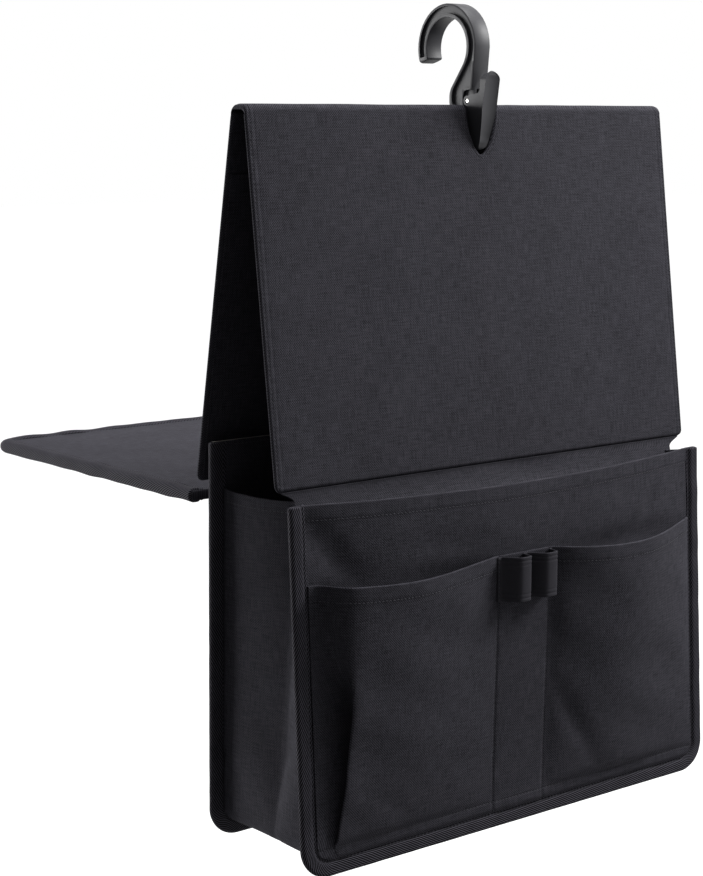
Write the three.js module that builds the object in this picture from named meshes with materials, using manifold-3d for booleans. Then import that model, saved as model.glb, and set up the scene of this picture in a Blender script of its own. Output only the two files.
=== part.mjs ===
// Seat back organizer: a gusseted bag under two stiff panels that meet in a ridge, with pockets,
// pen loops, a stiff rear flap and a clip hook. Millimetres, +X to the right as seen from the
// front, +Y to the rear, +Z up. While it is built the heights count from the foot of the bag,
// and at the end everything is placed so that the origin is the seat of the hook.
import * as THREE from 'three';
import { mergeVertices } from 'three/addons/utils/BufferGeometryUtils.js';
import Module from 'manifold-3d';

const wasm = await Module();
wasm.setup();

// Clearances
const leastStep = 0.01; // outline points closer than this are one point
const gap = 0.3; // between pieces that lie against each other
const ridgeGap = 0.5; // between the ridge cloth and the panels that turn under it

// Cloth and boards
const cloth = 0.7; // one layer of oxford cloth with its coating
const board = 1.6; // plastic stiffener board
const wallCloth = 1.2; // doubled cloth of the front wall
const pocketCloth = 1.0; // pocket sheet
const gussetCloth = 1.2; // gusset strip
const hemExtra = 0.5; // a turned hem is this much thicker
const panelStack = 2 * cloth + board + 2 * gap; // cover, board and lining
const flapBoard = 5; // padded board of the flap
const flapStack = 2 * cloth + flapBoard + 2 * gap;

// Bag
const bagWidth = 380; // over the bindings
const frontHeight = 244.7; // front wall along its slope
const frontFootY = -12.9; // middle of the front wall at its foot
const frontTopY = 0; // middle of the front wall at its top
const backHeight = 275; // back wall along its slope
const backFootY = 90.5; // middle of the back wall at its foot
const backTopY = 86; // middle of the back wall at its top
const cornerRadius = 22; // lower corners over the binding
const wallBow = 14; // the front wall bellies forward this far at the middle of its hem
const hemSag = 4; // and its hem hangs this much lower there
const hemWidth = 11; // turned hems of wall and pockets

// Binding tape, folded over the edges that it joins
const bindingWidth = 12;
const frontBindingThick = 5;
const backBindingThick = 5.8;
const flapBindingThick = 9.6;
const bindingFloor = 2.4; // tape left outside the edge that it holds
const bindingRound = 1.1; // rounding of its folded edges
const flapBindingRound = 2.6; // fuller round the padded flap

// Gusset
const gussetInset = 10; // from the outer edge of the bindings
const gussetTop = frontHeight - 1.7; // its upper edges end just below the hem
const creaseDepth = 5; // the side folds inwards this far along its crease
const creaseTopShare = 0.24; // part of the bag's depth that lies before the crease at its top
const creaseFootShare = 0.45; // and at its foot, where it parts and runs out to both corners
const creaseFoot = 70; // height of that place

// Pockets
const pocketHeight = 193; // mouth of the pockets, along the wall
const seamLeft = -21; // the two seams that part the pockets
const seamRight = 19;
const pocketBulge = 17; // the side pockets stand out this far at their pleats
const pocketSag = 4; // and their mouths hang lower in the middle
const centreBulge = 0.5; // the narrow centre pocket lies nearly flat
const pleatRun = 15; // width of the slope from the binding to the fold of the pleat

// Pen loops
const loopHeight = 31;
const loopTop = pocketHeight - 1; // upper edge along the wall
const loopReach = 12; // the loops stand out this far
const loopTape = 1.2;

// Upper panels
const panelWidth = bagWidth - 1;
const panelCorner = 5;
const ridgeRise = 219.7; // of the ridge above the back wall
const ridgeTop = backHeight + ridgeRise;
const ridgeWidth = 17; // over the outer faces of both panels
const ridgeRound = 5; // rounding of its shoulders and of its ends
const panelTop = ridgeTop - ridgeRound - ridgeGap; // upper edge of both panels
const axisBelowTop = 1; // each panel turns about a line this far under its upper edge
const frontPanelFootY = 14.4; // middle of the front panel at its lower edge
const frontSeamRise = 5.8; // of that edge above the hem of the front wall
const frontPanelFootZ = frontHeight + frontSeamRise;
const rearPanelFootY = 101.8;
const rearSeamDrop = 28.5; // of the rear panel's lower edge below the top of the back wall
const rearPanelFootZ = backHeight - rearSeamDrop;
const hingeInset = 2.6; // the hinge cloths end this far inside the bindings

// Slot in the ridge
const slotShift = 7; // slot and hook sit this far to the right of the middle
const slotWidth = 34; // at the ridge
const slotDepth = 34.5; // below the ridge
const slotPower = 1.7; // fullness of its rounded foot

// Hanging tape, close behind the front panel
const tapeY = 48; // its middle
const tapeThick = 1.4;
const tapeLength = 84;
const tapeDrop = 29.2; // its lower edge hangs this far below the ridge
const tapeFoot = ridgeTop - tapeDrop;
const ridgeFrontY = tapeY - tapeThick / 2 - 3 * gap - panelStack;
const ridgeRearY = ridgeFrontY + ridgeWidth;

// Rear flap
const flapLength = 275; // from its hinge line to its free edge
const flapHingeY = 110;
const flapHingeDrop = 11.5; // below the rear panel's lower edge
const flapHingeZ = rearPanelFootZ - flapHingeDrop;
const flapCorner = 20;
const flapHingeGap = 0.6; // between the hinge line and the flap, so that it turns clear

// Hook: its ring stands above and behind the pin that joins it to the lever
const hookBreadth = 13.8;
const pinY = 47.5;
const pinRise = 2.7; // over the ridge
const pinZ = ridgeTop + pinRise;
const ringY = 69.1;
const ringRise = 36.4; // from the pin to the middle of the ring
const ringZ = pinZ + ringRise;
const ringOuter = 29.9;
const ringInner = 20.6;
const tipAngle = -20.8; // degrees below level, where the ring ends
const rootAngle = 188; // degrees, where its inside runs into the leg
const tipRound = 1.6; // rounding of its square end
const outerRib = 1.8; // rim along the outer edge of its sides
const innerRib = 2.5; // and along the inner edge
const hookWeb = 3.4; // what the side recesses leave between them
const hookRound = 0.6; // rounding of its edges
const legFront = 4.6; // the leg stands this far before the pin
const legRear = 18.2; // and this far behind it, where it is widest
const legRib = 2.9; // rim along its rear
const legShoulder = 6.6; // height over the pin where its rear slopes up to the ring
const shoulderReach = 4; // length of the rounding there, both ways
const throatReach = 5.6; // and of the rounding where the slope meets the ring
const recessDrop = 8; // the leg's recess ends this far below the pin
const neckBreadth = 9.2; // of the leg between the cheeks of the lever
const cheekRoomRise = 7.4; // the cheeks have room up to this height over the pin
const jawRelief = 1.6; // the rear jaw stands off the tape this far above its grip
const jawRoot = 9; // thickness of the rear jaw at the top of its grip
const jawTip = 4.6; // and near its foot
const pinRadius = 1.5;
const earRadius = 3.4; // of the lever round the pin
const springSlot = 4.8; // slot in the leg for the spring
const springSlotHigh = 8; // it runs this far above and below the pin
const springWire = 0.9;
const springRadius = 2.9; // middle of the wire
const springTurns = 2.3;
const springPitch = 1.35;
const springFrom = -107; // degrees, where the wire from the lever meets the coil
const springLegHigh = 6.4; // both ends of the wire stand about this far over the pin

// Lever: its places count from the pin
const leverWall = 1.7;
const leverPlate = 2; // thickness of its front plate
const leverBreadth = 13.4;
const leverTipBreadth = 6;
const leverTopRise = 20;
const leverTopRound = 4.5; // length of the rounding at its top
const leverFootDrop = 33;
const leverShoulderDrop = 5.5; // the lever narrows below here
const leverNarrowing = 0.7; // fullness of the curve by which it narrows
const leverTopReach = 18.9; // the plate stands this far before the pin at its top
const leverMidReach = 16; // and this far where it begins to bend in
const leverBendDrop = 3; // that is this far below the pin
const heelReach = 11; // the bend ends this far before the pin
const heelRise = 7; // and this far over the lever's foot
const leverFootReach = 6; // the foot starts this far before the pin
const flangeDepth = 5; // cheeks behind the plate, above the pin
const valleyReach = 7.7; // lowest place of the cheeks' upper edge, before the pin
const valleyRise = 4.7; // and above it
const valleyRound = 4; // length of its roundings
const jawFaceLength = 19; // height of the faces that grip the tape

// Finishes
const clothBlack = new THREE.Color(0x26262a);
const tapeBlack = new THREE.Color(0x202024);
const plasticBlack = new THREE.Color(0x1c1c1f);
const boardGrey = new THREE.Color(0x6d6a63);
const steelGrey = new THREE.Color(0xb4b4b0);

const material = (color, roughness, metalness = 0) =>
  new THREE.MeshStandardMaterial({ color, roughness, metalness });
const clothFinish = () => material(clothBlack, 0.85);
const bindingFinish = () => material(tapeBlack, 0.8);
const plasticFinish = () => material(plasticBlack, 0.38);
const boardFinish = () => material(boardGrey, 0.6);
const steelFinish = () => material(steelGrey, 0.35, 1);

// Solids

function solidOf(geometry) {
  const bare = geometry.clone();
  bare.deleteAttribute('normal');
  bare.deleteAttribute('uv');
  const merged = mergeVertices(bare, 1e-5);
  return new wasm.Manifold(
    new wasm.Mesh({
      numProp: 3,
      vertProperties: new Float32Array(merged.attributes.position.array),
      triVerts: new Uint32Array(merged.index.array),
    }),
  );
}

function geometryOf(solid) {
  const mesh = solid.getMesh();
  const geometry = new THREE.BufferGeometry();
  geometry.setAttribute('position', new THREE.BufferAttribute(mesh.vertProperties, 3));
  geometry.setIndex(new THREE.BufferAttribute(mesh.triVerts, 1));
  geometry.computeVertexNormals();
  return geometry;
}

function part(name, shape, finish) {
  const geometry = shape instanceof THREE.BufferGeometry ? shape : geometryOf(shape);
  const mesh = new THREE.Mesh(geometry, finish);
  mesh.name = name;
  return mesh;
}

// An outline extruded to a depth, its edges rounded inside that depth. Points that fall together
// where two curves meet are left out.
function extruded(outline, depth, round, curveSegments) {
  const points = outline.getPoints(curveSegments);
  const apart = points.filter((point, i) => {
    const next = points[(i + 1) % points.length];
    return point.distanceTo(next) > leastStep;
  });
  const geometry = new THREE.ExtrudeGeometry(new THREE.Shape(apart), {
    depth: depth - 2 * round,
    bevelEnabled: round > 0,
    bevelSize: round,
    bevelOffset: -round,
    bevelThickness: round,
    bevelSegments: 2,
  });
  return geometry.translate(0, 0, round);
}

// A plate standing up: the outline lies in X and Z, and the plate fills nearY to farY.
function uprightPlate(outline, nearY, farY, round = 0, curveSegments = 6) {
  const geometry = extruded(outline, farY - nearY, round, curveSegments);
  return geometry.rotateX(Math.PI / 2).translate(0, farY, 0);
}

// A side profile, drawn in Y and Z, that fills -breadth/2 to breadth/2 in X.
function sideProfile(outline, breadth, round = 0, curveSegments = 10) {
  const geometry = extruded(outline, breadth, round, curveSegments);
  const turn = new THREE.Matrix4().set(0, 0, 1, 0, 1, 0, 0, 0, 0, 1, 0, 0, 0, 0, 0, 1);
  return geometry.translate(0, 0, -breadth / 2).applyMatrix4(turn);
}

// A closed sheet: side 0 and side 1 are its two faces, over columns by rows of cells.
function sheet(columns, rows, point) {
  const positions = [];
  const faces = [];
  const across = columns + 1;
  const perSide = across * (rows + 1);
  for (let side = 0; side < 2; side += 1) {
    for (let j = 0; j <= rows; j += 1) {
      for (let i = 0; i <= columns; i += 1) {
        positions.push(...point(i / columns, j / rows, side));
      }
    }
  }
  const at = (i, j, side) => side * perSide + j * across + i;
  const quad = (a, b, c, d) => faces.push(a, b, c, a, c, d);
  for (let j = 0; j < rows; j += 1) {
    for (let i = 0; i < columns; i += 1) {
      quad(at(i, j, 0), at(i + 1, j, 0), at(i + 1, j + 1, 0), at(i, j + 1, 0));
      quad(at(i, j, 1), at(i, j + 1, 1), at(i + 1, j + 1, 1), at(i + 1, j, 1));
    }
  }
  for (let i = 0; i < columns; i += 1) {
    quad(at(i, 0, 1), at(i + 1, 0, 1), at(i + 1, 0, 0), at(i, 0, 0));
    quad(at(i, rows, 0), at(i + 1, rows, 0), at(i + 1, rows, 1), at(i, rows, 1));
  }
  for (let j = 0; j < rows; j += 1) {
    quad(at(0, j, 0), at(0, j + 1, 0), at(0, j + 1, 1), at(0, j, 1));
    quad(at(columns, j, 1), at(columns, j + 1, 1), at(columns, j + 1, 0), at(columns, j, 0));
  }
  const geometry = new THREE.BufferGeometry();
  geometry.setAttribute('position', new THREE.Float32BufferAttribute(positions, 3));
  geometry.setIndex(faces);
  geometry.computeVertexNormals();
  return geometry;
}

const clamp01 = (t) => Math.min(1, Math.max(0, t));
const smooth = (t) => clamp01(t) ** 2 * (3 - 2 * clamp01(t));

// Outlines

// Wall or flap outline with its two lower corners rounded, drawn in from the outer edge by inset.
function walledOutline(width, height, radius, inset) {
  const half = width / 2 - inset;
  const round = radius - inset;
  const outline = new THREE.Shape();
  outline.moveTo(-half, height);
  outline.lineTo(-half, inset + round);
  outline.absarc(-half + round, inset + round, round, Math.PI, 1.5 * Math.PI, false);
  outline.lineTo(half - round, inset);
  outline.absarc(half - round, inset + round, round, 1.5 * Math.PI, 2 * Math.PI, false);
  outline.lineTo(half, height);
  outline.closePath();
  return outline;
}

// Binding along the sides and the foot of such an outline, with a groove for the edge it holds.
function binding(width, height, radius, thick, held, round = bindingRound) {
  const band = solidOf(
    uprightPlate(bandOutline(width, height, radius), -thick / 2, thick / 2, round),
  );
  const groove = solidOf(
    uprightPlate(
      walledOutline(width, height + bindingWidth, radius, bindingFloor),
      -held / 2 - gap,
      held / 2 + gap,
    ),
  );
  return band.subtract(groove);
}

function bandOutline(width, height, radius) {
  const half = width / 2;
  const inner = half - bindingWidth;
  const innerRound = radius - bindingWidth;
  const outline = new THREE.Shape();
  outline.moveTo(-half, height);
  outline.lineTo(-half, radius);
  outline.absarc(-half + radius, radius, radius, Math.PI, 1.5 * Math.PI, false);
  outline.lineTo(half - radius, 0);
  outline.absarc(half - radius, radius, radius, 1.5 * Math.PI, 2 * Math.PI, false);
  outline.lineTo(half, height);
  outline.lineTo(inner, height);
  outline.lineTo(inner, bindingWidth + innerRound);
  outline.absarc(inner - innerRound, radius, innerRound, 0, -Math.PI / 2, true);
  outline.lineTo(-inner + innerRound, bindingWidth);
  outline.absarc(-inner + innerRound, radius, innerRound, -Math.PI / 2, -Math.PI, true);
  outline.lineTo(-inner, height);
  outline.closePath();
  return outline;
}

// How far the rounded lower corner draws the side in at a height above the foot.
function cornerDraw(height, radius) {
  if (height >= radius) return 0;
  return radius - Math.sqrt(Math.max(0, radius ** 2 - (radius - height) ** 2));
}

// Groups that stand pieces on a sloping wall: inside, Z runs up the wall and Y through it.
function slope(footY, footZ, topY, length) {
  const group = new THREE.Group();
  group.position.set(0, footY, footZ);
  group.rotation.x = -Math.asin((topY - footY) / length);
  return group;
}

const assembly = new THREE.Group();

// Front wall, its binding, pockets and pen loops

const frontSlope = slope(frontFootY, 0, frontTopY, frontHeight);
assembly.add(frontSlope);

const clearHalf = bagWidth / 2 - bindingWidth;

// Middle surface of the front wall: how far it bellies forward of its binding.
function wallBelly(x, height) {
  const across = clamp01(1 - (x / clearHalf) ** 2);
  const up = clamp01((height - bindingWidth) / (frontHeight - bindingWidth));
  return wallBow * across * smooth(up ** 0.8);
}

function frontWall() {
  const inset = bindingFloor + gap;
  const radius = cornerRadius - inset;
  const columns = 30;
  const rows = 14;
  const hemRow = 1 - hemWidth / (frontHeight - inset);
  return sheet(columns, rows, (u, v, side) => {
    const row = Math.round(v * rows);
    const share = row === rows - 1 ? hemRow : v ** 1.25;
    const height = inset + share * (frontHeight - inset);
    const half = bagWidth / 2 - inset - cornerDraw(height - inset, radius);
    // The outer cells lie in the binding, where the wall stays flat.
    const column = Math.round(u * columns);
    const inner = Math.min(clearHalf - gap, half - (bindingWidth - bindingFloor));
    const inside = inner * ((2 * (column - 1)) / (columns - 2) - 1);
    const x = column === 0 ? -half : column === columns ? half : inside;
    const free = clamp01(1 - (x / clearHalf) ** 2);
    const thick = wallCloth + (row >= rows - 1 ? hemExtra * Math.sqrt(free) : 0);
    const y = -wallBelly(x, height) + (side === 0 ? -0.5 : 0.5) * thick;
    return [x, y, height - hemSag * free * smooth(share)];
  });
}

// Pocket sheet: it follows the wall, sewn down at the seams and standing out between them.
function pocketStand(x, height) {
  const edge = clearHalf - gap;
  const up = clamp01((height - bindingWidth) / (pocketHeight - bindingWidth));
  if (x > seamLeft && x < seamRight) {
    const t = (x - seamLeft) / (seamRight - seamLeft);
    return centreBulge * Math.sin(Math.PI * t) * up;
  }
  const fromEdge = x < 0 ? x + edge : edge - x;
  const span = x < 0 ? seamLeft + edge : edge - seamRight;
  const rise = smooth(fromEdge / pleatRun);
  const fall = 1 - clamp01((fromEdge - pleatRun) / (span - pleatRun)) ** 1.6;
  return pocketBulge * rise * fall * up;
}

function pocketSheet() {
  const edge = clearHalf - gap;
  const foot = bindingWidth + gap;
  const radius = cornerRadius - bindingWidth;
  const columns = 46;
  // Cells are finer at the pleats, and every seam falls on a column.
  const column = (u) => {
    const knots = [-edge, -edge + pleatRun, seamLeft, seamRight, edge - pleatRun, edge];
    const cells = [6, 14, 6, 14, 6];
    let index = Math.round(u * columns);
    let k = 0;
    while (k < 4 && index > cells[k]) {
      index -= cells[k];
      k += 1;
    }
    return knots[k] + ((knots[k + 1] - knots[k]) * index) / cells[k];
  };
  return sheet(columns, 12, (u, v, side) => {
    const height = foot + (pocketHeight - foot) * v;
    const draw = cornerDraw(height - foot, radius) / edge;
    const x = column(u) * (1 - draw);
    const stand = pocketStand(x, height);
    const sag = (pocketSag * stand * v) / pocketBulge;
    const seat = wallCloth / 2 + gap + pocketCloth / 2;
    const thick = side === 0 ? -0.5 : 0.5;
    return [x, -wallBelly(x, height) - seat - stand + thick * pocketCloth, height - sag];
  });
}

// One tape, sewn down at three lines, with a round loop between each two.
function penLoops() {
  const left = seamLeft + 1.5;
  const right = seamRight - 1.5;
  const middle = (left + right) / 2;
  const half = (middle - left) / 2;
  const steps = 9;
  const loop = (centre, reach, inset) => {
    const points = [];
    for (let i = 0; i <= steps; i += 1) {
      const angle = Math.PI * (1 - i / steps);
      points.push([centre + (half - inset) * Math.cos(angle), reach * Math.sin(angle) ** 0.7]);
    }
    return points;
  };
  const outer = [...loop(left + half, loopReach, 0), ...loop(right - half, loopReach, 0).slice(1)];
  const lift = loopTape;
  const inner = (centre) =>
    loop(centre, loopReach - loopTape, loopTape).map(([x, y]) => [x, Math.max(y, 0) + 0.0001]);
  const outline = new THREE.Shape();
  outer.forEach(([x, y], i) => (i ? outline.lineTo(x, -y - lift) : outline.moveTo(x, -y - lift)));
  outline.lineTo(right, 0);
  outline.lineTo(left, 0);
  outline.closePath();
  const body = new THREE.ExtrudeGeometry(outline, { depth: loopHeight, bevelEnabled: false });
  const bores = [left + half, right - half].map((centre) => {
    const hole = new THREE.Shape();
    inner(centre).forEach(([x, y], i) =>
      i ? hole.lineTo(x, -y - lift) : hole.moveTo(x, -y - lift),
    );
    hole.closePath();
    const plug = new THREE.ExtrudeGeometry(hole, { depth: loopHeight + 2, bevelEnabled: false });
    return plug.translate(0, 0, -1);
  });
  let solid = solidOf(body);
  bores.forEach((bore) => {
    solid = solid.subtract(solidOf(bore));
  });
  return solid;
}

frontSlope.add(part('front_wall', frontWall(), clothFinish()));
frontSlope.add(part('pocket_sheet', pocketSheet(), clothFinish()));
frontSlope.add(
  part(
    'front_binding',
    binding(bagWidth, frontHeight, cornerRadius, frontBindingThick, wallCloth),
    bindingFinish(),
  ),
);
const loops = part('pen_loop_tape', penLoops(), bindingFinish());
const loopFoot = loopTop - loopHeight;
const bellyRise = wallBelly(0, loopTop) - wallBelly(0, loopFoot);
const loopSeat = wallBelly(0, loopFoot) + wallCloth / 2 + pocketCloth + centreBulge + 2 * gap;
loops.position.set(0, -loopSeat, loopFoot);
loops.rotation.x = Math.atan(bellyRise / loopHeight);
frontSlope.add(loops);

// Back wall: cover cloth, board and lining, held by their binding

const backSlope = slope(backFootY, 0, backTopY, backHeight);
assembly.add(backSlope);

// Three plates with the same outline: cloth, board, cloth. The outer cloth faces farY.
function boardedPlates(outlineAt, stack) {
  const half = stack / 2;
  const boardHalf = half - cloth - gap;
  return [
    uprightPlate(outlineAt(), -half, -half + cloth),
    uprightPlate(outlineAt(), -boardHalf, boardHalf),
    uprightPlate(outlineAt(), half - cloth, half),
  ];
}

const backOutline = () =>
  walledOutline(bagWidth, backHeight, cornerRadius, bindingFloor + gap);
const [backInner, backBoard, backOuter] = boardedPlates(backOutline, panelStack);
backSlope.add(part('back_wall_lining', backInner, clothFinish()));
backSlope.add(part('back_wall_board', backBoard, boardFinish()));
backSlope.add(part('back_wall_cloth', backOuter, clothFinish()));
backSlope.add(
  part(
    'back_binding',
    binding(bagWidth, backHeight, cornerRadius, backBindingThick, panelStack),
    bindingFinish(),
  ),
);

// Gusset: one strip down the left side, along the bottom and up the right side

const slopeShift = (footY, topY, length, height) => {
  const rise = Math.sqrt(length ** 2 - (topY - footY) ** 2);
  return footY + ((topY - footY) * height) / rise;
};

function gussetStrip() {
  const half = bagWidth / 2 - gussetInset;
  const round = cornerRadius - gussetInset;
  const straight = gussetTop - gussetInset - round;
  const flat = 2 * (half - round);
  const arc = (Math.PI / 2) * round;
  // Place along the strip's U path and the direction out of the bag there.
  const path = (distance) => {
    if (distance <= straight) return [-half, gussetTop - distance, -1, 0];
    let rest = distance - straight;
    if (rest <= arc) {
      const a = Math.PI + rest / round;
      const [c, s] = [Math.cos(a), Math.sin(a)];
      return [-half + round + round * c, gussetInset + round + round * s, c, s];
    }
    rest -= arc;
    if (rest <= flat) return [-half + round + rest, gussetInset, 0, -1];
    const mirrored = path(2 * straight + 2 * arc + flat - distance);
    return [-mirrored[0], mirrored[1], -mirrored[2], mirrored[3]];
  };
  const sideCells = 10;
  const arcCells = 4;
  const flatCells = 8;
  const stops = [];
  for (let i = 0; i < sideCells; i += 1) stops.push((straight * i) / sideCells);
  for (let i = 0; i < arcCells; i += 1) stops.push(straight + (arc * i) / arcCells);
  for (let i = 0; i < flatCells; i += 1) stops.push(straight + arc + (flat * i) / flatCells);
  const whole = 2 * straight + 2 * arc + flat;
  for (let i = 0; i < arcCells; i += 1) stops.push(straight + arc + flat + (arc * i) / arcCells);
  for (let i = 0; i <= sideCells; i += 1) stops.push(whole - straight + (straight * i) / sideCells);
  const depthCells = 11;
  const creaseCell = Math.round(((creaseTopShare + creaseFootShare) / 2) * depthCells);
  const creaseAt = (z) =>
    creaseFootShare +
    (creaseTopShare - creaseFootShare) * clamp01((z - creaseFoot) / (gussetTop - creaseFoot));
  return sheet(stops.length - 1, depthCells, (u, v, side) => {
    const [x, z, outX, outZ] = path(stops[Math.round(u * (stops.length - 1))]);
    const cell = Math.round(v * depthCells);
    const crease = creaseAt(z);
    const share =
      cell <= creaseCell
        ? (crease * cell) / creaseCell
        : crease + ((1 - crease) * (cell - creaseCell)) / (depthCells - creaseCell);
    const front =
      slopeShift(frontFootY, frontTopY, frontHeight, z) + frontBindingThick / 2 + 2 * gap;
    const back = slopeShift(backFootY, backTopY, backHeight, z) - backBindingThick / 2 - gap;
    const fold = share < crease ? share / crease : (1 - share) / (1 - crease);
    const height = clamp01((z - creaseFoot * (1 - fold)) / creaseFoot);
    const inward = creaseDepth * fold * smooth(height) * Math.abs(outX);
    const offset = (side === 0 ? -gussetCloth : 0) - inward;
    return [x + outX * offset, front + (back - front) * share, z + outZ * offset];
  });
}

assembly.add(part('gusset_strip', gussetStrip(), clothFinish()));

// Upper panels: a cover cloth turned over the edges of a board, closed by a lining

// Panel outline with the ridge slot, drawn in from the edge by inset. Z counts up from the axis.
function panelOutline(length, inset) {
  const half = panelWidth / 2 - inset;
  const top = axisBelowTop - inset;
  const foot = -length + inset;
  const round = panelCorner - Math.min(inset, panelCorner - 1);
  const slotTop = ridgeTop - panelTop + axisBelowTop;
  const slotHalf = slotWidth / 2 + inset;
  const slotReach = slotDepth + inset;
  const outline = new THREE.Shape();
  outline.moveTo(-half, top);
  outline.lineTo(-half, foot + round);
  outline.absarc(-half + round, foot + round, round, Math.PI, 1.5 * Math.PI, false);
  outline.lineTo(half - round, foot);
  outline.absarc(half - round, foot + round, round, 1.5 * Math.PI, 2 * Math.PI, false);
  outline.lineTo(half, top);
  // The slot is the lower half of a rounded lozenge that centres on the ridge.
  const start = slotAngle((slotTop - top) / slotReach);
  const steps = 18;
  for (let i = 0; i <= steps; i += 1) {
    const angle = start + ((Math.PI - 2 * start) * i) / steps;
    const [x, z] = slotPoint(angle, slotHalf, slotReach);
    outline.lineTo(slotShift + x, slotTop - z);
  }
  outline.closePath();
  return outline;
}

function slotPoint(angle, half, reach) {
  const power = 2 / slotPower;
  const c = Math.cos(angle);
  return [half * Math.sign(c) * Math.abs(c) ** power, reach * Math.abs(Math.sin(angle)) ** power];
}

const slotAngle = (share) => Math.asin(share ** (slotPower / 2));

function upperPanel(name, axisY, footY, footZ, sign) {
  const axisZ = panelTop - axisBelowTop;
  const lean = Math.atan((footY - axisY) / (axisZ - footZ));
  const length = Math.hypot(footY - axisY, axisZ - footZ);
  const group = new THREE.Group();
  group.position.set(0, axisY, axisZ);
  group.rotation.x = lean;
  const half = panelStack / 2;
  const block = solidOf(uprightPlate(panelOutline(length, 0), -half, half));
  const inset = cloth + gap;
  const hollowNear = sign < 0 ? -half + cloth : -half - 1;
  const hollowFar = sign < 0 ? half + 1 : half - cloth;
  const hollow = solidOf(uprightPlate(panelOutline(length, cloth), hollowNear, hollowFar));
  const boardPlate = uprightPlate(panelOutline(length, inset), -board / 2, board / 2);
  const liningNear = sign < 0 ? half - cloth : -half;
  const lining = uprightPlate(panelOutline(length, inset), liningNear, liningNear + cloth);
  group.add(part(`${name}_cover`, block.subtract(hollow), clothFinish()));
  group.add(part(`${name}_board`, boardPlate, boardFinish()));
  group.add(part(`${name}_lining`, lining, clothFinish()));
  return group;
}

const frontAxisY = ridgeFrontY + panelStack / 2;
const rearAxisY = ridgeRearY - panelStack / 2;
assembly.add(upperPanel('front_panel', frontAxisY, frontPanelFootY, frontPanelFootZ, -1));
assembly.add(upperPanel('rear_panel', rearAxisY, rearPanelFootY, rearPanelFootZ, 1));

// Ridge: the cover cloth arches over both panels, and the slot parts it in two

// One half of it, from the slot to its end, where it is rounded down.
function ridgeFold(slotX, endX) {
  const foot = ridgeTop - ridgeRound;
  const inner = ridgeRound - cloth;
  const arch = new THREE.Shape();
  arch.absarc(ridgeRearY - ridgeRound, foot, ridgeRound, 0, Math.PI / 2, false);
  arch.absarc(ridgeFrontY + ridgeRound, foot, ridgeRound, Math.PI / 2, Math.PI, false);
  arch.absarc(ridgeFrontY + ridgeRound, foot, inner, Math.PI, Math.PI / 2, true);
  arch.absarc(ridgeRearY - ridgeRound, foot, inner, Math.PI / 2, 0, true);
  arch.closePath();
  const length = Math.abs(endX - slotX);
  const strip = sideProfile(arch, length, 0, 4).translate((slotX + endX) / 2, 0, 0);
  const side = Math.sign(endX);
  const front = new THREE.Shape();
  front.moveTo(slotX - side, foot - 1);
  front.lineTo(endX, foot - 1);
  front.lineTo(endX, foot);
  front.quadraticCurveTo(endX, ridgeTop, endX - side * ridgeRound, ridgeTop);
  front.lineTo(slotX - side, ridgeTop + 1);
  front.closePath();
  const end = uprightPlate(front, ridgeFrontY - 1, ridgeRearY + 1);
  return solidOf(strip).intersect(solidOf(end));
}

const ridgeEnd = panelWidth / 2;
const slotEnd = slotWidth / 2;
assembly.add(part('ridge_fold_left', ridgeFold(slotShift - slotEnd, -ridgeEnd), clothFinish()));
assembly.add(part('ridge_fold_right', ridgeFold(slotShift + slotEnd, ridgeEnd), clothFinish()));

const tapeHead = ridgeTop - cloth - gap;
const tape = new THREE.BoxGeometry(tapeLength, tapeThick, tapeHead - tapeFoot);
tape.translate(slotShift, tapeY, (tapeHead + tapeFoot) / 2);
assembly.add(part('hanging_tape', tape, bindingFinish()));

// Hinge cloths

// Front: from the lower edge of the front panel down to the inside of the bellied hem.
function frontHingeStrip() {
  const half = clearHalf - hingeInset;
  const lowHeight = frontHeight - hemWidth - 2;
  const tilt = -frontSlope.rotation.x;
  return sheet(24, 3, (u, v, side) => {
    const x = half * (2 * u - 1);
    const belly = wallBelly(x, lowHeight);
    const sag = hemSag * clamp01(1 - (x / clearHalf) ** 2);
    const wallInside = -belly + (wallCloth + hemExtra) / 2 + gap;
    const wallY = frontFootY + lowHeight * Math.sin(tilt) + wallInside;
    const wallZ = lowHeight * Math.cos(tilt) - sag;
    const high = frontPanelFootZ - ridgeGap;
    const y = wallY + (frontPanelFootY - wallY) * v ** 0.8 + (side === 0 ? 0 : cloth);
    return [x, y, wallZ + (high - wallZ) * v];
  });
}

assembly.add(part('front_hinge_strip', frontHingeStrip(), clothFinish()));

// Rear: a ledge of cloth from the back wall out to the flap's hinge line.
function rearHingeStrip() {
  const half = clearHalf - hingeInset;
  const wallY = slopeShift(backFootY, backTopY, backHeight, flapHingeZ) + panelStack / 2 + gap;
  const length = flapHingeY - gap - wallY;
  const strip = new THREE.BoxGeometry(2 * half, length, cloth);
  return strip.translate(0, wallY + length / 2, flapHingeZ);
}

assembly.add(part('rear_hinge_strip', rearHingeStrip(), clothFinish()));

// Flap: board between two cloths, bound on three sides, level behind the bag

const flap = new THREE.Group();
flap.position.set(0, flapHingeY, flapHingeZ);
flap.rotation.x = Math.PI / 2;
assembly.add(flap);

// Inside the group the free edge is the outline's foot, flapLength below the hinge line.
const flapRun = flapLength - flapHingeGap;
const flapOutline = () => walledOutline(bagWidth, flapRun, flapCorner, bindingFloor + gap);
const [flapUnder, flapMiddle, flapTop] = boardedPlates(flapOutline, flapStack);
flap.add(part('flap_top_cloth', flapTop.translate(0, 0, -flapLength), clothFinish()));
flap.add(part('flap_board', flapMiddle.translate(0, 0, -flapLength), boardFinish()));
flap.add(part('flap_under_cloth', flapUnder.translate(0, 0, -flapLength), clothFinish()));
const flapBand = part(
  'flap_binding',
  binding(bagWidth, flapRun, flapCorner, flapBindingThick, flapStack, flapBindingRound),
  bindingFinish(),
);
flapBand.position.z = -flapLength;
flap.add(flapBand);

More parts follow.
